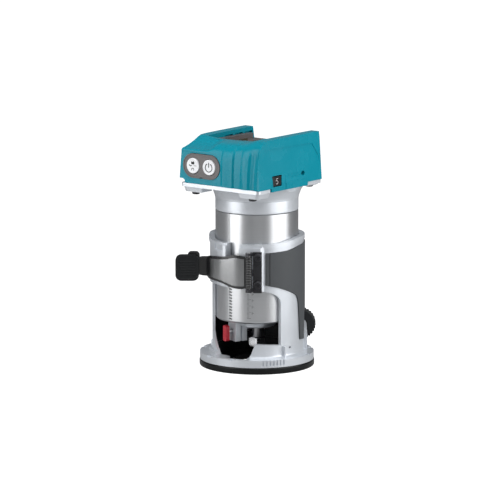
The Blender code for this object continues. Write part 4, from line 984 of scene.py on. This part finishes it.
def rubber_grip(outline, name, node, grooves):
    grip = wrapped(drawn_in(outline, 0.15), 35.5, 37.8, name, step=3)
    cut(grip, *[wrapped(groove, 37.15, 40, "groove", step=2) for groove in grooves])
    rounded(grip, 0.4, 2, 40)
    return dress(grip, "grip_rubber", "base", node)


edge_groove = [(14.9, 66.0), (15.9, 66.0), (15.9, 96.5), (14.9, 96.5)]
waves = [
    [(196.0 + 6.0 * i, 24.0), (197.6 + 6.0 * i, 24.0), (197.6 + 6.0 * i, 90.0),
     (196.0 + 6.0 * i, 90.0)] for i in range(8)
]
back_waves = [
    [(96.0 + 7.0 * i, 50.0), (97.6 + 7.0 * i, 50.0), (97.6 + 7.0 * i, 93.0),
     (96.0 + 7.0 * i, 93.0)] for i in range(10)
]
rubber_grip(RIGHT_GRIP, "right_grip_finished", "right_grip", [edge_groove] + back_waves)
rubber_grip(LEFT_GRIP, "left_grip_finished", "left_grip", waves)

# %% [markdown]
# ## Sub-base
#
# The black disc under the flange is moulded plastic, held by four countersunk screws. A
# lathe profile with rounded corners gives it, and the countersinks are cut from below.

# %% Sub-base
def sub_base():
    profile = [
        (18.0, 4.5), (18.5, 5.0), (44.3, 5.0), (44.8, 4.85), (45.1, 4.5), (45.2, 4.1),
        (45.2, 1.0), (45.05, 0.45), (44.7, 0.1), (44.2, 0.0), (18.7, 0.0), (18.0, 0.7),
    ]
    disc = lathe(profile, 160, "sub_base", BASE)
    sink = [(0.0, 7.0), (1.95, 7.0), (1.95, 2.9), (3.9, 0.75), (3.9, -1.0), (0.0, -1.0)]
    cut(disc, *[
        lathe(sink, 32, "sink", BASE @ Matrix.Translation(bearing(angle, 39.0) * MM))
        for angle in SCREW_ANGLES
    ])
    return smooth(disc)


def cross_recess(radius, depth, at, place, name):
    """The cross-shaped drive of a screw head, cut along the local Z axis."""
    reach = radius * 0.62
    wide = radius * 0.2
    x, y, z = at
    return [
        box((x - dx, y - dy, z - depth), (x + dx, y + dy, z + depth), name, place)
        for dx, dy in ((reach, wide), (wide, reach))
    ]


DEEP_BLACK = surface(
    "sub_base_black", (0.004, 0.005, 0.005), 0.3, grain=2400.0, lift=0.03, specular=0.25
)
dress(sub_base(), "black_plastic", "base", "base_plate", finish=DEEP_BLACK)
for number, angle in enumerate(SCREW_ANGLES, start=1):
    spot = BASE @ Matrix.Translation(bearing(angle, 39.0) * MM)
    body = [(0.0, 9.2), (1.4, 9.2), (1.6, 9.0), (1.6, 2.6), (3.3, 0.9), (3.4, 0.6), (3.2, 0.4),
            (0.0, 0.4)]
    screw = lathe(body, 32, f"sub_base_screw_{number}", spot)
    cut(screw, *cross_recess(3.2, 1.1, (0, 0, 0.4), spot, "drive"))
    dress(smooth(screw), "dark_steel", "base", f"base_plate_screw_{number}")
print("base done")

# %% [markdown]
# ## Clamp lever
#
# The lever is a gloss black casting that hugs the collar. Its face is a bent panel with a
# bulged middle, and its right end rolls round the hinge pin. An arm reaches out past the
# collar and carries a square finger pad. Wrapping an outline round the spindle bends the
# panel, and a second, smaller panel on top of it gives the bulge. The top of the bulge is a
# dark metallic grey, a painted highlight that stands in for the sheen of gloss black paint,
# and the rim, the hinge roll and the left end are black.

# %% Lever and pad
def rounded_box_outline(x0, z0, x1, z1, radius, count=7):
    points = arc(x0 + radius, z0 + radius, radius, 180, 270, count)
    points += arc(x1 - radius, z0 + radius, radius, 270, 360, count)
    points += arc(x1 - radius, z1 - radius, radius, 0, 90, count)
    points += arc(x0 + radius, z1 - radius, radius, 90, 180, count)
    return points


HINGE = bearing(-8.5, 43.0)
FACE = [
    (-10.0, 67.9), (-10.0, 92.5), (-14.0, 92.9), (-19.0, 93.4), (-24.0, 93.6), (-29.0, 92.9),
    (-33.0, 91.9), (-40.0, 91.2), (-52.0, 90.6), (-62.0, 89.8), (-66.5, 88.4), (-68.5, 86.0),
    (-68.5, 76.0), (-66.5, 73.2), (-62.0, 71.8), (-48.0, 71.2), (-40.0, 70.4), (-33.0, 68.9),
    (-28.0, 67.7), (-22.0, 67.1), (-16.0, 67.2),
]


def clamp_lever():
    shell = wrapped(FACE, 40.4, 42.5, "lever_finished", step=2.5)
    bulge = wrapped(drawn_in(FACE, 2.1), 41.5, 43.3, "bulge", step=2.5)
    knuckle = [(0.0, 67.6), (2.3, 67.6), (2.6, 67.9)]
    for i in range(12):
        low = 68.6 + i * 1.95
        knuckle += [(2.6, low), (2.3, low + 0.3), (2.3, low + 0.7), (2.6, low + 1.0)]
    knuckle += [(2.6, 92.5), (2.3, 92.8), (0.0, 92.8)]
    pivot = BASE @ Matrix.Translation(HINGE * MM)
    neck = slab(
        [(-46.5, 74.5), (-43.0, 73.4), (-38.2, 73.0), (-38.2, 88.2), (-43.0, 88.2),
         (-46.5, 87.0)], -16.0, -12.4, "neck", BASE, "XZ")
    back = slab(rounded_box_outline(-54.0, 72.4, -44.6, 92.2, 3.0), -15.4, -12.2, "back",
                BASE, "XZ")
    arm = slab(rounded_box_outline(-60.8, 74.2, -40.0, 87.8, 2.4), -16.1, -12.6, "arm",
               BASE, "XZ")
    join(shell, bulge, lathe(knuckle, 40, "knuckle", pivot), neck, back, arm)
    cut(shell, lathe([(0.0, 66), (1.6, 66), (1.6, 94), (0.0, 94)], 32, "pin_hole", pivot))
    return rounded(shell, 0.55, 3, 34)


def finger_pad():
    pad = slab(rounded_box_outline(-63.6, 69.8, -45.2, 90.4, 4.6), -20.6, -16.5, "pad_finished",
               BASE, "XZ")
    cut(pad, slab(rounded_box_outline(-61.6, 71.8, -46.6, 88.4, 3.0), -22.0, -20.2, "face",
                  BASE, "XZ"))
    ribs = [
        box((-60.5, -20.5, 74.4 + i * 2.0), (-47.8, -19.8, 75.2 + i * 2.0), "rib", BASE)
        for i in range(6)
    ]
    join(pad, *ribs)
    return rounded(pad, 0.5, 3, 34)


LEVER = clamp_lever()
dress(LEVER, "black_gloss", "clamp_lever", "locking_lever")
settle(LEVER)
LEVER.data.materials.append(surface(
    "lever_rim", (0.012, 0.012, 0.013), 0.22, grain=900.0, lift=0.02, coat=0.6
))
# The top of the bulge keeps the grey metal, a painted highlight. The rim, the hinge roll and the left
# end get the black.
for face in LEVER.data.polygons:
    spot = BASE.inverted() @ face.center
    rolled = math.hypot(spot.x - HINGE.x * MM, spot.y - HINGE.y * MM) < 3.6 * MM
    if rolled or math.hypot(spot.x, spot.y) < 43.22 * MM or spot.x < -36.5 * MM:
        face.material_index = 1
dress(finger_pad(), "black_plastic", "clamp_lever", "lever_pad")

# %% [markdown]
# The bracket is pressed steel: a bent strip screwed to the collar, with two lugs that hold
# the pin. A cross-headed screw sits above and below the lever.

# %% Lever bracket and its screws
def lug(bottom):
    points = [(-3.2, 39.3), (-3.2, 40.4), (-4.3, 40.6), (-4.7, 42.6), (-5.9, 45.0), (-8.5, 45.9),
              (-11.3, 45.0), (-12.1, 42.6), (-10.5, 39.9), (-8.5, 39.3)]
    return flat_ear(points, bottom, bottom + 2.5, "lug")


def lever_bracket():
    strip = [(-4.2, 63.8), (5.4, 63.8), (5.4, 96.0), (-4.2, 96.0)]
    bracket = wrapped(strip, 39.1, 40.6, "lever_bracket_finished", step=1.6)
    join(bracket, lug(64.8), lug(93.3),
         wrapped([(-3.4, 77.0), (3.9, 77.0), (3.9, 85.4), (-3.4, 85.4)], 40.2, 41.3, "boss"))
    pivot = BASE @ Matrix.Translation(HINGE * MM)
    cut(bracket, lathe([(0.0, 60), (1.6, 60), (1.6, 99), (0.0, 99)], 32, "pin_hole", pivot),
        *[bar(1.6, bearing(0.8, 35, h), bearing(0.8, 45, h), "hole", BASE)
          for h in BRACKET_HEIGHTS])
    return rounded(bracket, 0.35, 2, 34)


def cap_screw(height, name):
    """A pan-head screw that points at the spindle: a lathe shape with a cross in its head."""
    out = BASE @ Matrix.Translation(bearing(0.8, 40.9, height) * MM)
    out = out @ Matrix.Rotation(math.radians(0.8), 4, "Z") @ Matrix.Rotation(math.pi / 2, 4, "X")
    body = [(0.0, -5.0), (1.25, -5.0), (1.25, 0.0), (3.2, 0.0), (3.2, 0.9), (2.9, 1.6),
            (2.2, 2.0), (0.0, 2.1)]
    screw = lathe(body, 40, name, out)
    cut(screw, *cross_recess(3.0, 1.2, (0, 0, 2.1), out, "drive"))
    return smooth(screw)


dress(lever_bracket(), "dark_steel", "base", "lever_bracket")
dress(cap_screw(92.0, "bracket_screw_top"), "dark_steel", "base", "bracket_screw_upper")
dress(cap_screw(70.5, "bracket_screw_low"), "dark_steel", "base", "bracket_screw_lower")

# %% [markdown]
# ## Motor barrel
#
# The barrel is turned aluminium with a fine lathe finish, so light stretches into upright
# bands. A column of small pits and a column of scale lines show how far it is set into the
# base. The pits' inner walls are painted dark, as painted shade. Beside the pits, on the
# barrel's lower left, the metal is darker and rougher, a second finish on the same piece.

# %% Barrel
def motor_barrel():
    profile = [
        (29.5, 123.7), (32.2, 123.7), (32.5, 123.4), (32.5, 39.2), (32.35, 38.7), (31.2, 37.6),
        (30.9, 37.5), (22.3, 37.5), (22.3, 40.5), (29.5, 40.5),
    ]
    barrel = lathe(profile, 180, "motor_barrel_finished", BASE)
    slot_low, slot_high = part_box("depth_rack")[0][2] / MM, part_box("depth_rack")[1][2] / MM
    cutters = [box((27.0, -3.3, slot_low), (35.5, 3.3, slot_high + 0.3), "rack_slot", BASE)]
    for i in range(22):
        height = 40.6 + 2.36 * i
        cutters.append(wrapped([(-41.2, height - 0.3), (-36.6, height - 0.65),
                                (-36.6, height + 0.35), (-41.2, height + 0.7)], 31.6, 34.0,
                               "pit", step=6))
    cut(barrel, *cutters)
    return smooth(barrel)


BARREL = motor_barrel()
dress(BARREL, "brushed_aluminium", "motor_unit", "motor_barrel")
settle(BARREL)
darker_lower_left = surface("darker_lower_left", (0.5, 0.51, 0.52), 0.5, 0.9, grain=1300.0, lift=0.25, tint=0.25)
BARREL.data.materials.append(darker_lower_left)
BARREL.data.materials.append(PAINTED_SHADE)
for face in BARREL.data.polygons:
    spot = BASE.inverted() @ face.center
    angle = math.degrees(math.atan2(spot.x, -spot.y))
    radius = math.hypot(spot.x, spot.y) / MM
    # Faces on the barrel's lower left, below 70 mm, get a darker, rougher metal.
    if -96.0 < angle < -40.6 and spot.z < 70.0 * MM:
        face.material_index = 1
    # Painted shade: the pits' inner walls and floors get the dark colour.
    if 31.4 < radius < 32.35 and abs(angle + 39.0) < 3.0 and spot.z > 39.2 * MM:
        face.material_index = 2


def scale_mark(angle, height, wide, tall, name="mark"):
    reach = math.degrees(wide / 2 / 32.5)
    return wrapped([(angle - reach, height), (angle + reach, height),
                    (angle + reach, height + tall), (angle - reach, height + tall)],
                   32.3, 32.56, name, step=3)


marks = scale_mark(-11.0, 42.0, 3.2, 0.35, "scale_marks")
join(marks, *[
    scale_mark(-11.0 if i % 5 == 0 else -12.2, 42.0 + i, 3.2 if i % 5 == 0 else 1.8, 0.28)
    for i in range(1, 26)
], *[
    scale_mark(-5.4, 46.2 + 5.0 * i, 1.5, 0.3) for i in range(5)
], *[
    scale_mark(-6.6, 46.2 + 5.0 * i - 1.0, 0.3, 2.2) for i in range(5)
])
ETCH = surface("scale_etch", (0.22, 0.225, 0.235), 0.5, 0.6, lift=0.01)
dress(smooth(marks), "brushed_aluminium", "motor_unit", finish=ETCH)

# %% [markdown]
# ## Nose, spindle lock and collet
#
# The silver nose carries the lower bearing and a square block for the spindle lock, whose
# red key slides a steel pin into the spindle. Below it hang the spindle's end and the
# hexagonal collet nut with its turned cone.

# %% Nose, lock and collet
LOCK_ANGLE = -58.0
NUT_ACROSS = 12.6


def motor_nose():
    profile = [
        (11.4, 43.0), (21.9, 43.0), (21.9, 38.3), (21.6, 38.0), (17.0, 37.6), (15.6, 37.0),
        (15.0, 36.0), (15.0, 32.2), (14.7, 31.4), (13.9, 30.9), (13.0, 30.8), (7.2, 30.8),
        (6.6, 31.4), (6.6, 33.0), (11.4, 33.0),
    ]
    nose = lathe(profile, 120, "motor_nose", BASE)
    turned = BASE @ Matrix.Rotation(math.radians(LOCK_ANGLE), 4, "Z")
    join(nose, box((-5.5, -23.0, 20.8), (5.5, -12.6, 37.0), "carrier", turned))
    lens_holes = [
        bar(2.3, bearing(a, 18.6, 30.0), bearing(a, 18.6, 37.2), "lens_hole", BASE, 24)
        for a in (-22, 22)
    ]
    cut(nose, bar(1.9, bearing(LOCK_ANGLE, 9, 28.5), bearing(LOCK_ANGLE, 26, 28.5), "lock_bore", BASE),
        box((-6.5, -18.6, 19), (-3.9, -17.0, 33), "side_slot", turned),
        box((3.9, -18.6, 19), (6.5, -17.0, 33), "side_slot", turned), *lens_holes)
    return rounded(nose, 0.4, 2, 34)


def lock_cap():
    turned = BASE @ Matrix.Rotation(math.radians(LOCK_ANGLE), 4, "Z")
    cap = slab(rounded_box_outline(-2.4, 21.0, 2.4, 33.5, 1.5), -29.8, -26.6, "spindle_lock_cap",
               turned, "XZ")
    join(cap, *[box((-1.7, -30.0, 23.0 + 1.9 * i), (1.7, -29.4, 23.8 + 1.9 * i), "rib", turned)
                for i in range(5)])
    return rounded(cap, 0.35, 2, 34)


def collet_nut():
    """A hexagonal bar turned at both ends, so that its corners run out in arcs."""
    flat = NUT_ACROSS / 2
    corner = flat / math.cos(math.pi / 6)
    flats = bar(corner, (0, 0, 14.8), (0, 0, 22.0), "collet_nut_finished", BASE, 6)
    for rows in (
        [(corner + 2, 14.0), (corner + 2, 15.9), (corner + 0.1, 15.9), (flat - 0.1, 14.7),
         (flat - 0.1, 14.0)],
        [(corner + 2, 23.0), (corner + 2, 20.9), (corner + 0.1, 20.9), (flat - 0.1, 22.1),
         (flat - 0.1, 23.0)],
    ):
        cut(flats, lathe(rows, 64, "corner_trim", BASE))
    bore = [(0.0, 30.0), (5.3, 30.0), (5.3, 17.0), (3.7, 15.8), (3.7, 10.0), (0.0, 10.0)]
    cut(flats, lathe(bore, 48, "bore", BASE))
    return rounded(flats, 0.2, 2, 34)


dress(motor_nose(), "silver_paint", "motor_unit", "bearing_housing")
dress(lock_cap(), "red_plastic", "spindle_lock", "spindle_lock_button")
inward = (
    BASE @ Matrix.Translation(bearing(LOCK_ANGLE, 7.0, 28.5) * MM)
    @ Matrix.Rotation(math.radians(LOCK_ANGLE), 4, "Z") @ Matrix.Rotation(math.pi / 2, 4, "X")
)
pin_rows = [(0.0, 0.0), (1.2, 0.0), (1.5, 0.4), (1.5, 20.4), (0.0, 20.4)]
pin = lathe(pin_rows, 32, "spindle_lock_pin", inward)
dress(smooth(pin), "steel", "spindle_lock")
BRIGHT = turned_metal("bright_steel", (0.82, 0.82, 0.83), 0.2, rings=2600.0)
dress(collet_nut(), "steel", "spindle_assembly", "collet_nut", finish=BRIGHT)

# %% [markdown]
# ## Depth knob
#
# The knob is a moulded drum with ribs for the fingers, a domed face and a screw in the
# middle. Its ribs are part of its outline, and rounding the long edges makes the dome.

# %% Depth knob
def depth_knob():
    x, y = PINION_SPOT
    rim = []
    for i in range(30):
        for share, radius in ((0.0, 12.3), (0.42, 12.3), (0.55, 11.5), (0.87, 11.5)):
            turn = math.tau * (i + share) / 30
            rim.append((x + radius * math.cos(turn), y + radius * math.sin(turn)))
    knob = slab(rim, 30.4, 41.0, "depth_knob_finished", PINION_PLACE)
    spot = PINION_PLACE @ Matrix.Translation(Vector((x, y, 0)) * MM)
    trim = [(10.6, 42.0), (14.0, 42.0), (14.0, 38.6), (12.4, 39.2), (11.6, 40.3), (10.6, 41.0)]
    foot = [(11.2, 29.0), (14.0, 29.0), (14.0, 31.6), (12.4, 31.2), (11.2, 30.4)]
    dish = [(3.4, 42.0), (9.4, 42.0), (9.0, 40.4), (7.4, 39.9), (4.6, 39.9), (3.4, 40.4)]
    cut(knob, lathe(trim, 64, "trim", spot), lathe(foot, 64, "foot", spot),
        lathe(dish, 64, "dish", spot),
        lathe([(0.0, 28), (2.1, 28), (2.1, 38.4), (0.0, 38.4)], 32, "bore", spot),
        lathe([(0.0, 38.2), (3.4, 38.2), (3.4, 43), (0.0, 43)], 32, "sink", spot))
    return rounded(knob, 0.25, 2, 40)


dress(depth_knob(), "black_plastic", "depth_control", "depth_knob")
print("moving parts done")
